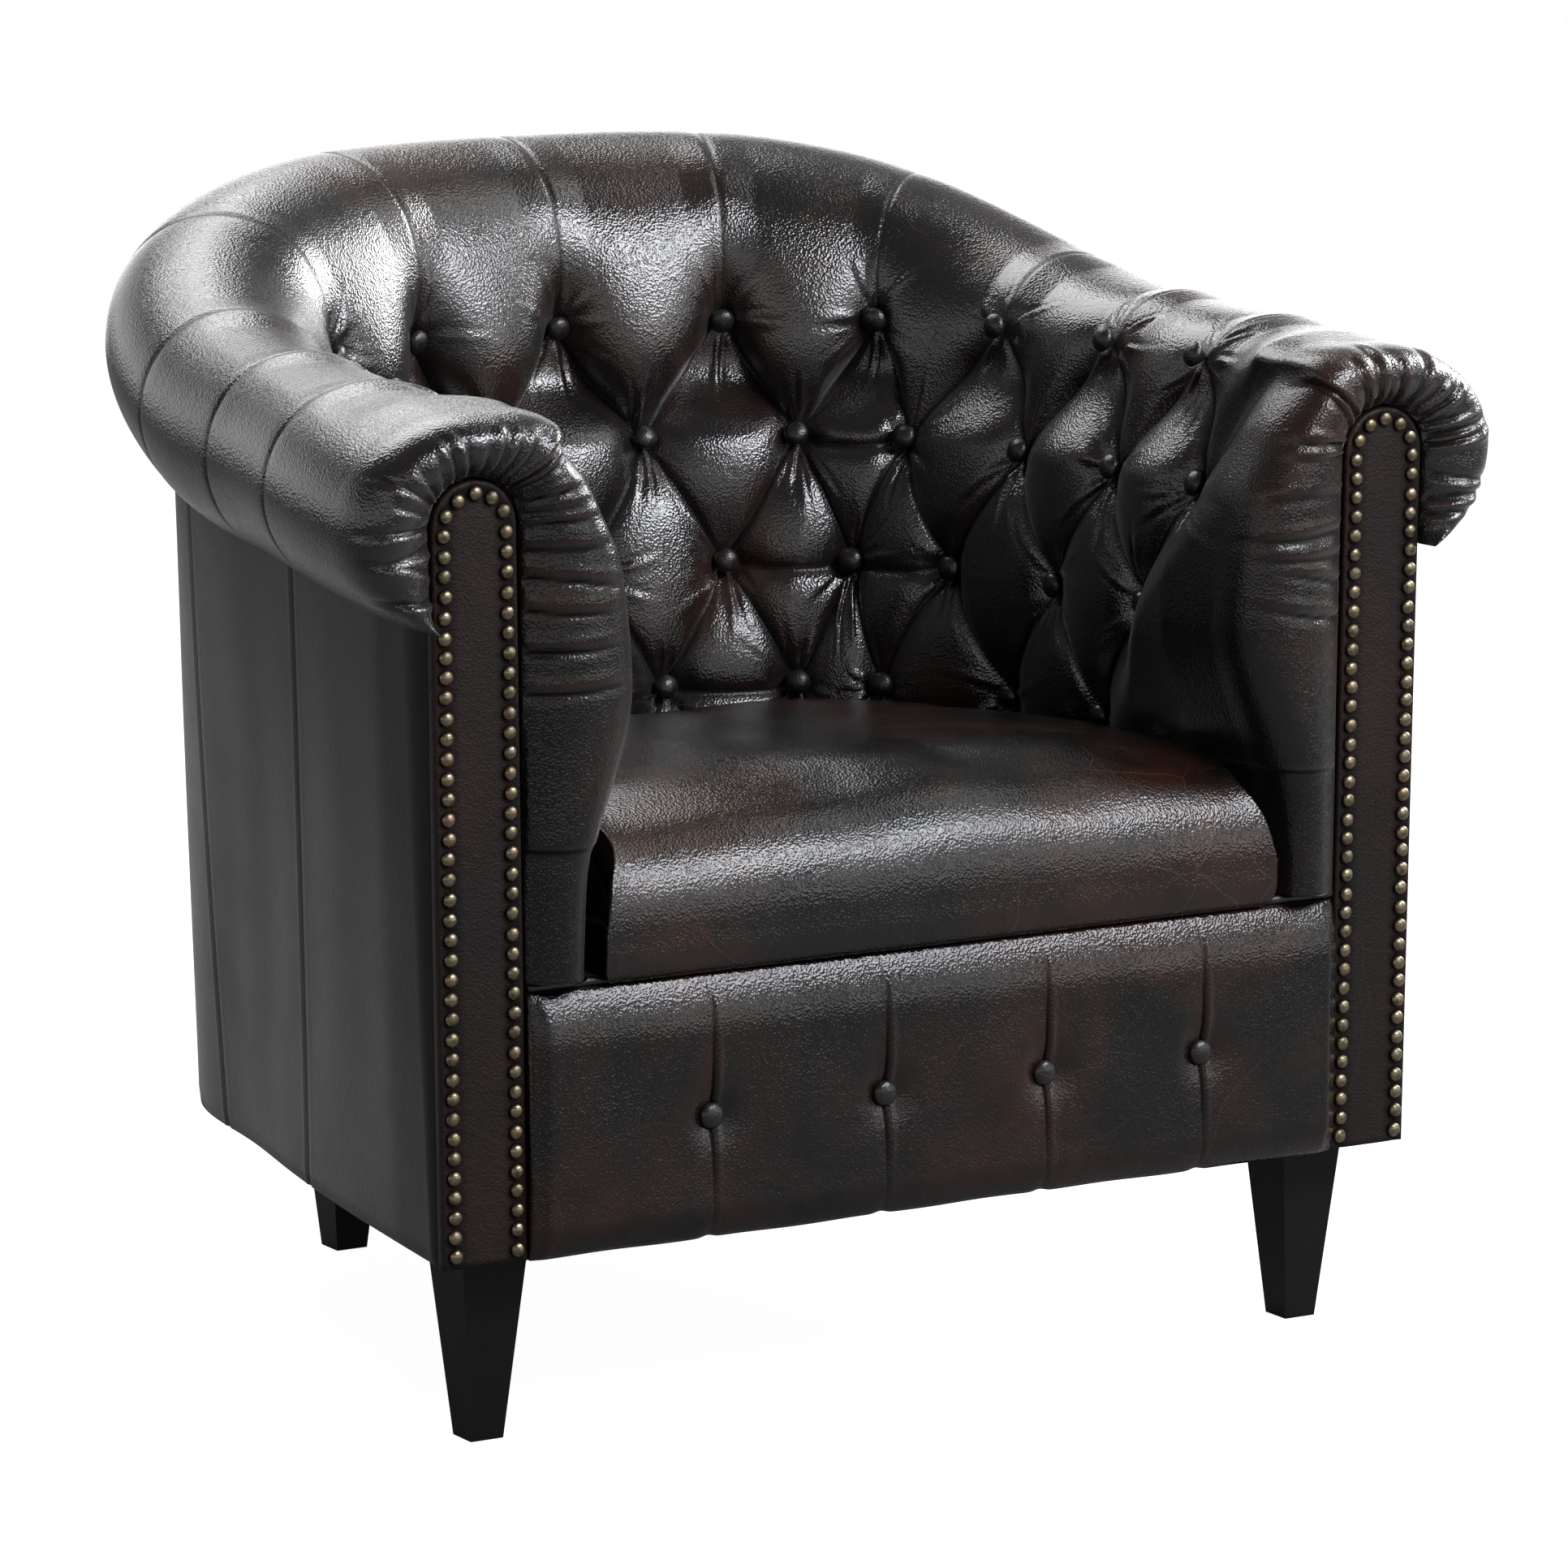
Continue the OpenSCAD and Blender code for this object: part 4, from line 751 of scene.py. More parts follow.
def front_border():
    """The padded panel: its channels are sewn creases with a lap beside them, and its foot waves a little."""
    xs = np.unique(np.concatenate([np.linspace(-BORDER_HALF_W, BORDER_HALF_W, BORDER_COLUMNS),
                                   [c * BORDER_HALF_W + d / 2 for c in CHANNELS for d in range(-12, 17)]]))
    points, fold, worn = [], [], []
    v = np.linspace(0, 1, BORDER_ROWS)
    roll, foot = np.sin(math.pi * v), 1 - ease(v * 8)
    for x in xs:
        d = min((x - c * BORDER_HALF_W for c in CHANNELS), key=abs)
        crease = sum(depth * bell(d + offset, width) for depth, offset, width in SEWN)
        wave = 1.6 * math.sin(x / 23) * math.sin(x / 41 + 1)
        z = mix(LEG_H, SEAT_H, v)
        dz = z - LEG_H - BUTTON_Z
        y = (border_y(x, v) + crease * roll + PULL * np.exp(-(d * d + dz * dz) / 90)
             + 0.5 * wave * roll * np.sin(7 * v + x / 60))
        tip = TIP * bell(d, 5) * (1 - ease(v * 9)) + 0.35 * wave - 0.6
        points += [(x, yk, zk) for yk, zk in zip(y, z + tip * foot)]
        points += [(x, BOARD_Y + CAP_D, SEAT_H), (x, BOARD_Y + CAP_D, SEAT_H - CAP_H),
                   (x, BOARD_Y - GAP, SEAT_H - CAP_H), (x, BOARD_Y - GAP, LEG_H)]
        # painted shade in the channels' sewn creases
        fold += [*(bell(d, 1.1) * roll), 0, 0, 0, 0]
        worn += [*(bell(abs(d) - 5, 3) * roll * 0.6), 0, 0, 0, 0]
    return mesh_object("front_border_leather", points, tube_faces(len(xs), BORDER_ROWS + 4),
                       fold=fold, worn=worn)


def border_buttons():
    places = [((c * BORDER_HALF_W, border_y(c * BORDER_HALF_W, BUTTON_Z / BORDER_H) - 0.6, LEG_H + BUTTON_Z),
               (0, -1, 0)) for c in CHANNELS]
    return many_turned("border_button_domes", dome_profile(BUTTON_D, BUTTON_H, 4, 2.5), places, 28)


def border_piping():
    points, r, sides = [], 2.8, 14
    for x in np.linspace(-BORDER_HALF_W, BORDER_HALF_W, 160):
        cy, cz = FRONT_Y + r, SEAT_H + GAP + r + 0.15 * math.sin(x / 37)
        turn = 2 * math.pi * np.arange(sides) / sides
        thick = r + 0.08 * math.sin(x / 3.1)
        points += [(x, cy + thick * math.cos(a), cz + thick * math.sin(a)) for a in turn]
    return mesh_object("piping_cord", points, tube_faces(160, sides))


# Seat cushion
CUSHION_X = [0, 0.40, 0.64, 0.83, 0.935, 0.985, 1, 1, 1, 0.96, 0.6, 0.3, 0]
CUSHION_Y = [1, 0.965, 0.90, 0.77, 0.58, 0.36, 0.16, 0.06, 0.004, 0, 0, 0, 0]
CUSHION_OUT, SIDE_GAP, REAR_GAP = 12, 20, 22
CUSHION_FRONT = FRONT_Y - CUSHION_OUT
CUSHION_HALF_W = LINE_HALF_W - ARM_PAD_D - SIDE_GAP
CUSHION_LEN = LINE_D - BACK_PAD_D - REAR_GAP + CUSHION_OUT
CUSHION_CORNER = 0.008
EDGE_FRONT_H, EDGE_BACK_H, CROWN_H = 102, 89, 12
NOSE_R, NOSE_SMALL_R, SIDE_R, REAR_R = 128, 45, 5, 40
LIP_H, LIP_FRONT, LIP_SIDE = 32, 13, 4
ARC_RINGS, TOP_RINGS = 36, 44


def closed_spline(values, count):
    """Points along a smooth closed curve through the values."""
    v = np.asarray(values, float)
    s = np.arange(count) * len(v) / count
    k = s.astype(int)
    t = (s - k)[:, None]
    a, b, c, d = (v[(k + step) % len(v)] for step in (-1, 0, 1, 2))
    return (2 * b + (c - a) * t + (2 * a - 5 * b + 4 * c - d) * t * t + (3 * b - a - 3 * c + d) * t**3) / 2


def quarter(d, r):
    """Height of a rounded edge of radius r, at distance d from it: 0 to 1."""
    return np.sqrt(1 - (1 - clamp01(d / r)) ** 2)


def cushion_outline():
    """Plan of the cushion as shares, with close points at the two front corners."""
    loop = list(zip(CUSHION_X, CUSHION_Y))
    loop += [(-x, y) for x, y in loop[-2:0:-1]]
    fine = closed_spline(loop, 4000)
    fine[:, 1] = clamp01(fine[:, 1])
    mm = fine * [CUSHION_HALF_W, CUSHION_LEN]
    run = np.concatenate([[0], np.cumsum(np.linalg.norm(np.diff(mm, axis=0), axis=-1))])
    corners = [run[np.argmin(np.hypot(fine[:, 0] - sign, (fine[:, 1] - CUSHION_CORNER) * 2))]
               for sign in (1, -1)]
    weight = np.cumsum(1 + 5 * bell(np.min([np.abs(run - c) for c in corners], axis=0), 9))
    stops = np.interp(np.linspace(weight[0], weight[-1], 440, endpoint=False), weight, run)
    outline = np.stack([np.interp(stops, run, axis) for axis in fine.T], -1)
    return outline, np.min([np.abs(stops - c) for c in corners], axis=0)


def seat_cushion():
    """One leather over the crown and the bull nose, with boxed sides sewn to it along the edge."""
    outline, seam = cushion_outline()
    ox, oy = outline[:, 0], outline[:, 1]
    half, length = CUSHION_HALF_W, CUSHION_LEN
    foot_w, foot_l = half - LIP_SIDE, length - LIP_SIDE
    rings = [(foot_w * ox * s, mix(LIP_FRONT, foot_l, mix(0.5, oy, s)), np.zeros(ox.shape), 0)
             for s in (0.02, 0.3, 0.6, 0.85, 0.95)]
    for a in np.radians(np.linspace(-90, -6, 12)):
        c, h = 1 - math.cos(a), LIP_H * (1 + math.sin(a))
        rings.append(((half - LIP_SIDE * c) * ox, mix(LIP_FRONT * c, length - LIP_SIDE * c, oy),
                      np.full(ox.shape, h), 1))
    for a in np.linspace(0, math.pi / 2, ARC_RINGS):
        c = 1 - math.cos(a)
        rings.append(((half - SIDE_R * c) * ox, mix(NOSE_R * c, length - REAR_R * c, oy), None, 1))
    for s in 1 - np.arange(1, TOP_RINGS) / TOP_RINGS:
        s = s * 0.985 + 0.015
        rings.append(((half - SIDE_R) * ox * s,
                      mix(0.5 * (length + NOSE_R - REAR_R), mix(NOSE_R, length - REAR_R, oy), s), None, 0))
    shares = np.linspace(0.3, 1, 80)
    rear = outline[(oy > 0.29) & (ox > 0)]
    rear = rear[np.argsort(rear[:, 1])]
    rear_x = np.interp(shares, rear[:, 1], rear[:, 0])
    points, fold, worn = [], [], []
    for x, y, z, sewn in rings:
        if z is None:
            share = y / length
            side = half * np.where(share > 0.3, np.interp(share, shares, rear_x), 1)
            edge = mix(EDGE_FRONT_H, EDGE_BACK_H, ease(share * 0.9 + 0.05))
            crown = CROWN_H * (1 - (x / half) ** 2) * np.sin(math.pi * clamp01(share * 0.8 + 0.15)) ** 0.7
            nose = 0.5 * quarter(y, NOSE_SMALL_R) + 0.5 * quarter(y, NOSE_R)
            round_off = nose * quarter(side - np.abs(x), SIDE_R) * quarter(length - y, REAR_R)
            wave = 1.4 * np.sin(x / 47 + 1) * np.sin(y / 39) + 0.8 * np.sin(x / 23 + y / 31)
            z = LIP_H + (edge + crown + wave - LIP_H) * round_off
        wide = 1 + 0.05 * (1 - ease(y / 26)) + 1.2 / half * bell(seam, 2.6) * sewn
        points += np.stack([x * wide, CUSHION_FRONT + y, SEAT_H + GAP + z], -1).tolist()
        # painted shade along the sewn edge seam
        fold += (bell(seam, 1.3) * sewn).tolist()
        worn += (bell(seam - 3.5, 2) * sewn).tolist()
    return mesh_object("seat_cushion_cover", points, tube_faces(len(rings), len(outline)),
                       fold=fold, worn=worn)


SIM_VOXEL, SIM_START, SIM_CAP, SIM_FRAMES = 6, 3.0, 5.0, 20
SIM_NEAR, SIM_SPREAD, SIM_FOOT = 20, 6, 30
PRESSURE, STRETCH, SHEAR, BENDING = 4.0, 60.0, 30.0, 4.0


def read(items, key="co"):
    values = np.empty(len(items) * 3)
    items.foreach_get(key, values)
    return values.reshape(-1, 3)


def final_shape(obj):
    return obj.evaluated_get(bpy.context.evaluated_depsgraph_get())


def swollen(obj):
    """Lets the cushion swell as cloth on a coarse copy, then moves the fine leather in the same way."""
    scene = bpy.context.scene
    sim = bpy.data.objects.new("cushion_sim", obj.data.copy())
    scene.collection.objects.link(sim)
    coarse = sim.modifiers.new("coarse", "REMESH")
    coarse.mode, coarse.voxel_size = "VOXEL", SIM_VOXEL * MM
    shape = bpy.data.meshes.new_from_object(final_shape(sim))
    sim.modifiers.clear()
    full, normals = read(shape.vertices), read(shape.vertex_normals, "vector")
    shape.vertices.foreach_set("co", (full - normals * SIM_START * MM).ravel())
    sim.data = shape
    rules = sim.modifiers.new("cloth", "CLOTH").settings
    rules.use_pressure, rules.uniform_pressure_force = True, PRESSURE
    rules.effector_weights.gravity = 0.0
    rules.tension_stiffness = rules.compression_stiffness = STRETCH
    rules.shear_stiffness, rules.bending_stiffness = SHEAR, BENDING
    for number in range(1, SIM_FRAMES + 1):
        scene.frame_set(number)
    move = read(final_shape(sim).to_mesh().vertices) - full
    move -= move.mean(0)
    move -= normals * np.mean(np.sum(move * normals, 1))
    far = np.linalg.norm(move, axis=1, keepdims=True)
    move *= SIM_CAP * MM / (SIM_CAP * MM + far)
    bpy.data.objects.remove(sim)
    scene.frame_set(1)
    tree = KDTree(len(full))
    for i, at in enumerate(full):
        tree.insert(at, i)
    tree.balance()
    fine = read(obj.data.vertices)
    for k, at in enumerate(fine.copy()):
        found = tree.find_n(at, SIM_NEAR)
        weight = np.array([1 / (d + SIM_SPREAD * MM) ** 2 for _, _, d in found])
        step = (move[[i for _, i, _ in found]] * weight[:, None]).sum(0) / weight.sum()
        fine[k] = at + step * float(ease((at[2] - PAD_FOOT_Z * MM) / (SIM_FOOT * MM)))
        fine[k][2] = max(fine[k][2], PAD_FOOT_Z * MM)
    obj.data.vertices.foreach_set("co", fine.ravel())
    obj.data.update()
    print("swollen", len(full), float(np.median(far)), float(far.max()), flush=True)


# Foam deck and the cloth under the seat
LEGS = ["front_left_leg", "front_right_leg", "rear_left_leg", "rear_right_leg"]


def ring_distance(loop, x, y):
    return float(np.min(np.hypot(loop[:, 0] - x, loop[:, 1] - y)))


# Foam: reach of the edge's rings, its radius, and its sewn line; cloth: size of its faces, sag and free ways
DECK_R, DECK_EDGE, DECK_FRONT, SEAM_IN, SEAM_DEEP, DIP_DEEP = 220, 3.0, 10.3, 20, 1.1, 0.35
CLOTH_STEP, SAG, LEG_FREE, RIM_FREE = 15, 5, (52, 70), (8, 120)


def deck():
    """Foam under the cushion: rounded edges, a sewn line round its border and dips over the springs."""
    cad_z = read(nodes["deck_pad"].data.vertices)[:, 2] / MM
    low, high = cad_z.min(), cad_z.max()
    us = np.linspace(-6, 6, 241)
    loop = off(line_at, us, -HOLLOW_N - GAP)
    front = BOARD_Y + DECK_FRONT
    loop = loop[loop[:, 1] > front + 0.5]
    across = np.linspace(loop[-1][0], loop[0][0], 90)
    across = np.stack([across, np.full(across.shape, front)], -1)
    loop = np.concatenate([across[-1:], loop, across[:-1]])
    middle = np.array([0, loop[:, 1].mean()])
    reach = np.hypot(*(loop - middle).T)
    rings = [(s, low) for s in (0.05, 0.4, 0.8)]
    for start, z, side in ((-math.pi / 2, low, 1), (0, high, -1)):
        rings += [(1 - DECK_EDGE * (1 - math.cos(a)) / DECK_R, z + side * DECK_EDGE * (1 - abs(math.sin(a))))
                  for a in np.linspace(start, start + math.pi / 2, 6)]
    insets = np.concatenate([np.linspace(4, 40, 19), np.linspace(48, 210, 22)])
    rings += [(s, None) for s in 1 - insets / DECK_R]
    points = []
    for s, z in rings:
        at = middle + (loop - middle) * s
        if z is None:
            inset = (1 - s) * reach
            dips = DIP_DEEP * (1 + np.sin(at[:, 0] / 17) * np.sin(at[:, 1] / 60)) * ease((inset - 22) / 12)
            z = high - SEAM_DEEP * bell(inset - SEAM_IN, 1.6) - dips
        points += np.stack([*at.T, np.broadcast_to(z, len(at))], -1).tolist()
    return mesh_object("foam_deck", points, tube_faces(len(rings), len(loop)))


def underside_cloth():
    """Cloth tacked under the rails: the CAD sheet cut into small faces, sagging between the legs."""
    obj = bpy.data.objects.new("underside_cloth", nodes["dust_cover"].data.copy())
    bpy.context.scene.collection.objects.link(obj)
    mesh = obj.data
    low, high = read(mesh.vertices).min(0), read(mesh.vertices).max(0)
    bm = bmesh.new()
    bm.from_mesh(mesh)
    flat = sum(f.calc_area() for f in bm.faces if f.normal.z > 0.9)
    for axis, normal in enumerate(((1, 0, 0), (0, 1, 0))):
        for at in np.arange(low[axis] + 12 * MM, high[axis], CLOTH_STEP * MM):
            bmesh.ops.bisect_plane(bm, geom=bm.verts[:] + bm.edges[:] + bm.faces[:], dist=1e-7,
                                   plane_co=(at, at, 0), plane_no=normal)
    boxes = [read(nodes[name].data.vertices) for name in LEGS]
    legs = np.array([(box.min(0) + box.max(0))[:2] / 2 for box in boxes])
    us = np.linspace(-6, 6, 200)
    across = np.linspace(-BASE_W / 2, BASE_W / 2, 60)
    rim = np.concatenate([off(base_at, us, -PANEL_T - GAP),
                          np.stack([across, np.full(across.shape, BOARD_Y)], -1)]) * MM
    for v in bm.verts:
        leg, side = (ring_distance(loop, v.co.x, v.co.y) / MM for loop in (legs, rim))
        slack = float(ease((leg - LEG_FREE[0]) / LEG_FREE[1]) * ease((side - RIM_FREE[0]) / RIM_FREE[1]))
        v.co.z -= MM * slack * (SAG + 0.8 * math.sin(v.co.x / MM / 21) * math.sin(v.co.y / MM / 33))
    bm.to_mesh(mesh)
    bm.free()
    return obj, [float(high[0] - low[0]), float(high[1] - low[1])], float(flat)


# Materials
class Shade:
    """The node tree of a material or a world, with short ways to add to it."""

    def __init__(self, owner, root="Principled BSDF"):
        owner.use_nodes = True
        self.owner, self.tree = owner, owner.node_tree
        self.root = self.tree.nodes[root]

    def put(self, socket, value):
        if isinstance(value, bpy.types.NodeSocket):
            self.tree.links.new(value, socket)
        else:
            socket.default_value = value

    def node(self, kind, inputs=(), **settings):
        item = self.tree.nodes.new(kind)
        for key, value in settings.items():
            setattr(item, key, value)
        for key, value in dict(inputs).items():
            self.put(item.inputs[key], value)
        return item

    def done(self, inputs):
        for key, value in inputs.items():
            self.put(self.root.inputs[key], value)
        return self.owner

    def coords(self, scale=(1, 1, 1)):
        at = self.node("ShaderNodeTexCoord").outputs["Object"]
        return self.node("ShaderNodeMapping", {"Scale": scale, "Vector": at}).outputs["Vector"]

    def noise(self, scale, detail=3.0, rough=0.55, distortion=0.0, vector=None):
        return self.node("ShaderNodeTexNoise", {
            "Scale": scale, "Detail": detail, "Roughness": rough, "Distortion": distortion,
            "Vector": vector or self.coords()}).outputs["Fac"]

    def edges(self, scale, vector):
        """Distance to the edges of scattered cells."""
        return self.node("ShaderNodeTexVoronoi", {"Scale": scale, "Vector": vector},
                         feature="DISTANCE_TO_EDGE").outputs["Distance"]

    def bent(self, vector, scale, reach):
        """Coordinates pushed about by noise, so that lines wander."""
        push = self.node("ShaderNodeTexNoise", {"Scale": scale, "Vector": vector}).outputs["Color"]
        return self.node("ShaderNodeVectorMath", {0: push, 1: (reach, reach, reach), 2: vector},
                         operation="MULTIPLY_ADD").outputs[0]

    def math(self, operation, a, b=0.0, clamp=False):
        return self.node("ShaderNodeMath", {0: a, 1: b}, operation=operation, use_clamp=clamp).outputs[0]

    def times(self, a, b):
        return self.math("MULTIPLY", a, b)

    def remap(self, value, low, high, to_low=0.0, to_high=1.0):
        return self.node("ShaderNodeMapRange", {
            "Value": value, "From Min": low, "From Max": high, "To Min": to_low, "To Max": to_high,
        }).outputs["Result"]

    def blend(self, share, a, b):
        a, b = (v if isinstance(v, bpy.types.NodeSocket) else (*v, 1) for v in (a, b))
        return self.node("ShaderNodeMix", {"Factor": share, 6: a, 7: b}, data_type="RGBA").outputs[2]

    def layer(self, name):
        return self.node("ShaderNodeAttribute", attribute_name=name).outputs["Fac"]

    def bump(self, height, strength, distance, normal=None):
        inputs = {"Strength": strength, "Distance": distance, "Height": height}
        if normal is not None:
            inputs["Normal"] = normal
        return self.node("ShaderNodeBump", inputs).outputs["Normal"]


def material(name):
    return Shade(bpy.data.materials.new(name))


def times(tone, share):
    return [c * share for c in tone]


def leather(name, dark, brown, brown_share, rough, attributes=True, grain=1.0, shine=0.42,
            hairs=1.0, sheen=0.0):
    """Leather of two tones in patches, with hairlines, scratches and grain. Painted shade darkens and dulls
    the creases, seams and hollows; worn edges pale.
    """
    s = material(name)
    patches = s.noise(7.0, 5.0, 0.62, 0.5)
    fine = s.noise(46.0, 4.0, 0.6)
    low = 0.62 - 0.3 * brown_share
    tone = s.blend(s.remap(patches, low, low + 0.2), dark, brown)
    tone = s.blend(s.remap(fine, 0.45, 0.8, 0.0, 0.55), tone, times(dark, 0.55))
    web = s.edges(21.0, s.bent(s.coords((1, 1, 1.6)), 14.0, 0.03))
    lines = s.times(s.remap(web, 0.0, 0.010, 1.0, 0.0), s.remap(s.noise(6.0, 2.0), 0.42, 0.66))
    tone = s.blend(s.times(lines, 0.3 * hairs), tone, times(brown, 2))
    web = s.edges(9.0, s.bent(s.coords((1, 1.3, 1)), 9.0, 0.07))
    scratches = s.times(s.remap(web, 0.0, 0.0035, 1.0, 0.0), s.remap(s.noise(3.5, 2.0), 0.4, 0.6))
    tone = s.blend(s.times(scratches, 0.6 * hairs), tone, times(brown, 5))
    gloss = s.remap(s.noise(16.0, 4.0, 0.6), 0.35, 0.7, *rough)
    if attributes:
        # painted shade: this layer marks creases, seams, dents and button hollows, which turn darker, rougher
        # and less shiny as if in shade
        fold, worn = s.layer("fold"), s.layer("worn")
        tone = s.blend(s.times(worn, s.remap(fine, 0.4, 0.7, 0.15, 0.8)), tone, times(brown, 2))
        tone = s.blend(s.times(fold, 0.85), tone, times(dark, 0.25))
        gloss = s.math("ADD", gloss, s.times(fold, 0.25), clamp=True)
        shine = s.times(s.remap(fold, 0.1, 0.9, shine, shine * 0.15),
                        s.remap(s.layer("calm"), 0.0, 1.0, 1.0, 0.45))
    normal = s.bump(s.noise(190.0, 3.0, 0.6), 0.2 * grain, 0.0012)
    pebble = s.node("ShaderNodeTexVoronoi", {"Scale": 620.0, "Smoothness": 0.5, "Vector": s.coords()},
                    feature="SMOOTH_F1").outputs["Distance"]
    normal = s.bump(pebble, 0.42 * grain, 0.0007, normal)
    normal = s.bump(s.times(lines, -1.0), 0.12 * hairs, 0.0004, normal)
    return s.done({"Base Color": tone, "Roughness": gloss, "Specular IOR Level": shine,
                   "Sheen Weight": sheen, "Sheen Roughness": 0.45, "Normal": normal})


def brass():
    s = material("antique_brass")
    spots = s.noise(260.0, 4.0, 0.65)
    tone = s.blend(s.remap(spots, 0.4, 0.68), (0.20, 0.172, 0.112), (0.055, 0.042, 0.03))
    tone = s.blend(s.remap(s.noise(31.0, 2.0), 0.5, 0.62, 0.0, 0.5), tone, (0.21, 0.15, 0.105))
    return s.done({"Base Color": tone, "Metallic": 1.0, "Roughness": s.remap(spots, 0.3, 0.7, 0.26, 0.48),
                   "Normal": s.bump(spots, 0.25, 0.0006)})


def mottled(name, noise, tones, rough, bump=0.0, depth=0.0, stretch=(1, 1, 1), **more):
    """Two tones mixed by one noise, which also drives the gloss and the bump."""
    s = material(name)
    spots = s.noise(*noise, vector=s.coords(stretch))
    if depth:
        more["Normal"] = s.bump(spots, bump, depth)
    return s.done({"Base Color": s.blend(spots, *tones),
                   "Roughness": s.remap(spots, 0.3, 0.7, *rough), **more})


def cloth(name, a, b):
    s = material(name)
    warp, weft = (s.node("ShaderNodeTexWave", {"Scale": 420.0, "Vector": s.coords()}, wave_type="BANDS",
                         bands_direction=way).outputs["Fac"] for way in "XY")
    weave = s.times(warp, weft)
    return s.done({"Base Color": s.blend(s.times(weave, s.noise(40.0, 4.0)), a, b), "Roughness": 0.9,
                   "Normal": s.bump(weave, 0.4, 0.0005)})


def dress(obj, look):
    obj.data.materials.clear()
    obj.data.materials.append(look)


def recolour(names, look):
    for name in names:
        looks = nodes[name].data.materials
        if not looks:
            looks.append(look)
        for k in range(len(looks)):
            looks[k] = look


hide = leather("antique_leather", (0.0042, 0.0036, 0.0034), (0.020, 0.0088, 0.0060), 0.48, (0.13, 0.25),
               shine=0.7, hairs=0.35, sheen=0.12)
brown_hide = leather("antique_leather_brown", (0.0021, 0.0017, 0.0016), (0.0200, 0.0072, 0.0040), 0.62,
                     (0.15, 0.26), shine=0.38, hairs=0.4)
# The outer shell's leather is a lighter grey than the hide inside; part of that is painted reflection,
# standing in for the grey veil that the outer sides reflect.
shell_hide_painted_veil = leather("shell_leather", (0.0105, 0.0098, 0.0094), (0.013, 0.0098, 0.0085), 0.3, (0.36, 0.46),
                     grain=0.5, shine=0.45, hairs=0.2, sheen=0.25)
facing_hide = leather("facing_leather", (0.0066, 0.0046, 0.0041), (0.0145, 0.0066, 0.0052), 0.7, (0.42, 0.55),
                      shine=0.2, hairs=0.4)
button_hide = leather("button_leather", (0.009, 0.0078, 0.0076), (0.016, 0.010, 0.009), 0.3, (0.26, 0.38),
                      False, 0.6)
cushion_hide = leather("cushion_leather", (0.0026, 0.0021, 0.0019), (0.0220, 0.0082, 0.0046), 0.62,
                       (0.16, 0.27), shine=0.45, hairs=1.2)

tufted = tufted_leather()
dress(tufted, hide)
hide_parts("left_arm_pad", "back_pad", "right_arm_pad")
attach(tufted, "chair")

domes = quilt_buttons()
dress(domes, button_hide)
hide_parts("back_buttons")
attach(domes, "chair")

old_brass = brass()
for side, word in ((-1, "left"), (1, "right")):
    strip = facing(word + "_facing_leather", side)
    dress(strip, facing_hide)
    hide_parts(word + "_facing")
    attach(strip, "chair")
    studs = facing_nails(word + "_nail_heads", side)
    dress(studs, old_brass)
    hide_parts(word + "_facing_nails")
    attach(studs, "chair")

shell = outer_shell()
dress(shell, shell_hide_painted_veil)
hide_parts("left_outer_panel", "left_quarter_panel", "outer_back_panel", "right_quarter_panel",
            "right_outer_panel")
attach(shell, "chair")

border = front_border()
dress(border, brown_hide)
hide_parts("front_border")
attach(border, "chair")
for piece, node in ((border_buttons(), "border_buttons"), (border_piping(), "border_piping")):
    dress(piece, button_hide)
    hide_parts(node)
    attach(piece, "chair")

cushion = seat_cushion()
swollen(cushion)
dress(cushion, cushion_hide)
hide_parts("seat_cushion")
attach(cushion, "cushion")

recolour([n for n in nodes if n.endswith(("_rail", "_block", "_board", "_post", "_lining"))],
         mottled("pale_timber", (24.0, 6.0, 0.6, 1.2), ((0.62, 0.43, 0.24), (0.42, 0.26, 0.13)), (0.55, 0.75),
                 0.2, 0.0006, (1, 1, 9)))
recolour(LEGS, mottled("black_lacquer", (90.0, 5.0, 0.7), ((0.003, 0.003, 0.003), (0.006, 0.0057, 0.0055)),
                       (0.42, 0.56), 0.15, 0.0004, (6, 6, 0.5), **{"Specular IOR Level": 0.16}))
recolour(["seat_springs", "spring_clips", "leg_bolts"],
         mottled("spring_steel", (160.0, 4.0), ((0.42, 0.42, 0.42), (0.25, 0.24, 0.23)), (0.3, 0.5),
                 Metallic=1.0))
pad = deck()
dress(pad, cloth("deck_cloth", (0.30, 0.28, 0.24), (0.45, 0.42, 0.36)))
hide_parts("deck_pad")
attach(pad, "chair")
under, cut, cut_area = underside_cloth()
dress(under, cloth("dust_cloth", (0.006, 0.006, 0.006), (0.02, 0.02, 0.02)))
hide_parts("dust_cover")
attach(under, "chair")


# Stage
def floor():
    """White to the camera and dim in reflections; it keeps the chair's shadow."""
    s = material("white_floor")
    path = s.node("ShaderNodeLightPath").outputs
    mirrored = s.math("MAXIMUM", path["Is Glossy Ray"], path["Is Transmission Ray"])
    seen = s.math("MAXIMUM", s.times(path["Is Camera Ray"], 0.972), s.times(mirrored, 0.08))
    look = s.done({"Base Color": (0.2, 0.2, 0.2, 1), "Roughness": 1.0, "Specular IOR Level": 0.0,
                   "Emission Color": (1, 1, 1, 1), "Emission Strength": seen})
    mesh = bpy.data.meshes.new("floor")
    mesh.from_pydata([(-30, -30, 0), (30, -30, 0), (30, 30, 0), (-30, 30, 0)], [], [(0, 1, 2, 3)])
    obj = bpy.data.objects.new("floor", mesh)
    bpy.context.scene.collection.objects.link(obj)
    dress(obj, look)


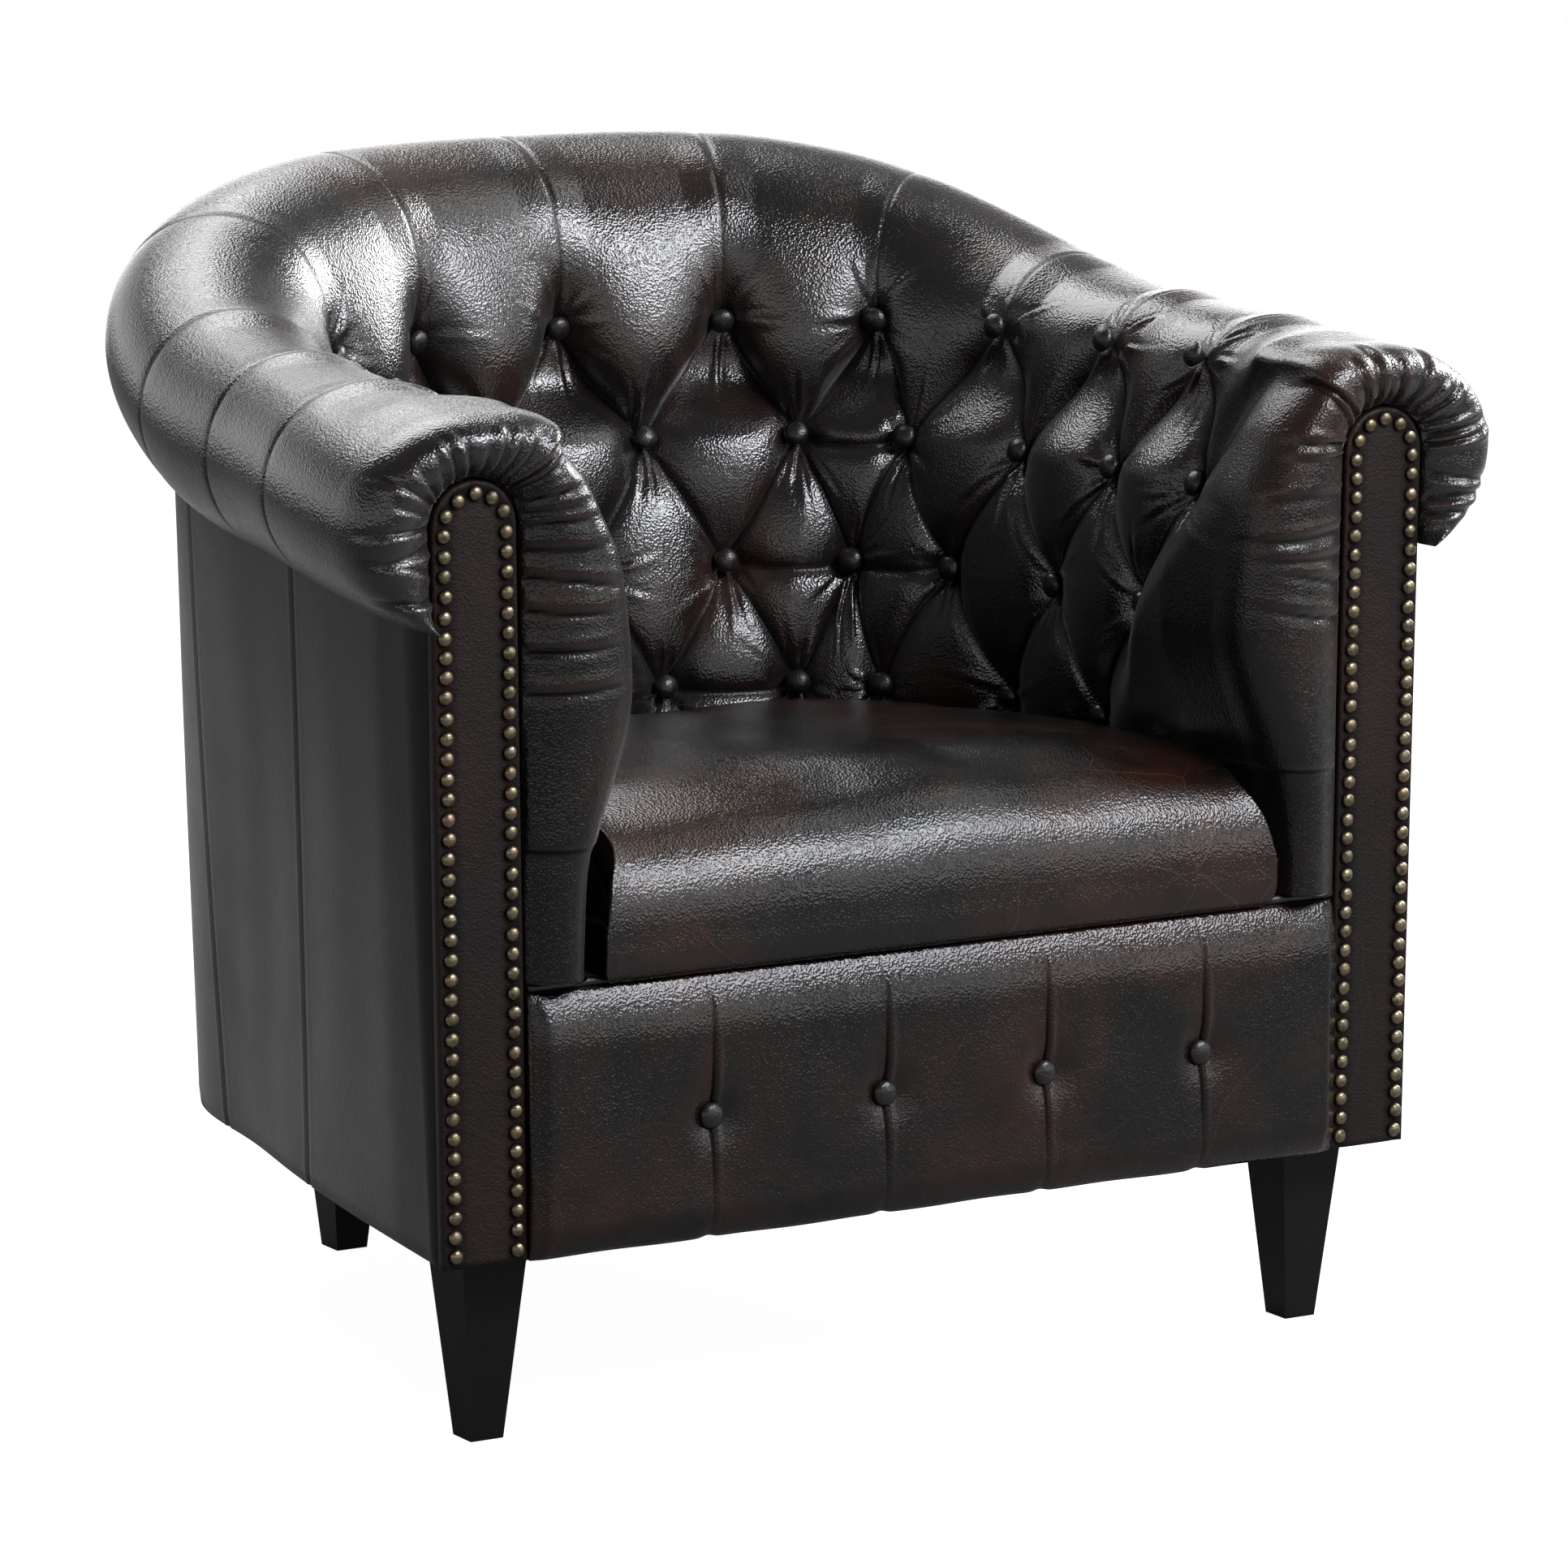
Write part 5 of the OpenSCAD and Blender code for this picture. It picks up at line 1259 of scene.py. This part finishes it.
def world():
    """White round the horizon, darker overhead; dim for the light that it gives."""
    studio = bpy.data.worlds.new("studio")
    bpy.context.scene.world = studio
    s = Shade(studio, "Background")
    path = s.node("ShaderNodeLightPath").outputs
    where = s.node("ShaderNodeTexCoord").outputs["Generated"]
    height = s.node("ShaderNodeSeparateXYZ", {0: where}).outputs["Z"]
    seen = s.math("MAXIMUM", path["Is Camera Ray"], path["Is Glossy Ray"])
    sky = s.remap(height, 0.15, 0.5, 1.25, 0.15)
    strength = s.node("ShaderNodeMix", {"Factor": seen, 2: 0.12, 3: sky}).outputs[0]
    s.done({"Color": (1, 1, 1, 1), "Strength": strength})


def softbox(name, at, target, size, radiance, tint=(1, 1, 1)):
    lamp = bpy.data.lights.new(name, "AREA")
    lamp.shape = "RECTANGLE"
    lamp.size, lamp.size_y = size
    lamp.energy = radiance * math.pi * size[0] * size[1]
    lamp.color = tint
    obj = bpy.data.objects.new(name, lamp)
    obj.location = at
    obj.visible_camera = False
    obj.rotation_euler = (Vector(target) - Vector(at)).to_track_quat("-Z", "Y").to_euler()
    bpy.context.scene.collection.objects.link(obj)


# Focal length and width in the photograph's pixels, sensor in mm, angles in radians, place in metres
FOCAL_PX, PHOTO_PX, SENSOR = 9665.3, 1932, 36
YAW, PITCH, ROLL = 0.544, 0.17855, 0.00214
EYE = (-2.59932, -4.41771, 1.26928)


def camera():
    """The camera that was fitted to the photograph."""
    data = bpy.data.cameras.new("camera")
    data.sensor_width = SENSOR
    data.lens = FOCAL_PX / PHOTO_PX * SENSOR
    obj = bpy.data.objects.new("camera", data)
    turn = Euler((math.pi / 2 - PITCH, 0, -YAW)).to_matrix() @ Matrix.Rotation(ROLL, 3, "Z")
    obj.matrix_world = Matrix.LocRotScale(Vector(EYE), turn, None)
    bpy.context.scene.collection.objects.link(obj)
    bpy.context.scene.camera = obj


floor()
world()
softbox("key", (1.45, -0.45, 2.5), (0, -0.15, 0.4), (1.0, 1.0), 2.2)
softbox("right_window", (2.8, 0.15, 1.75), (0, 0, 0.55), (1.5, 1.4), 18.5)
softbox("front_window", (1.05, -2.15, 2.15), (0, 0.1, 0.55), (2.0, 0.85), 19.0, (0.92, 0.94, 1.0))
softbox("rear_window", (0.0, 1.5, 2.6), (0.1, 0, 0.6), (2.1, 1.7), 5.5)
softbox("back_window", (1.9, 3.0, 1.0), (0, 0, 0.6), (3.0, 1.6), 1.6)
softbox("front_fill", (3.0, -4.4, 1.25), (0, 0, 0.5), (3.6, 0.9), 2.4)
camera()
bpy.context.scene.view_settings.view_transform = "Standard"
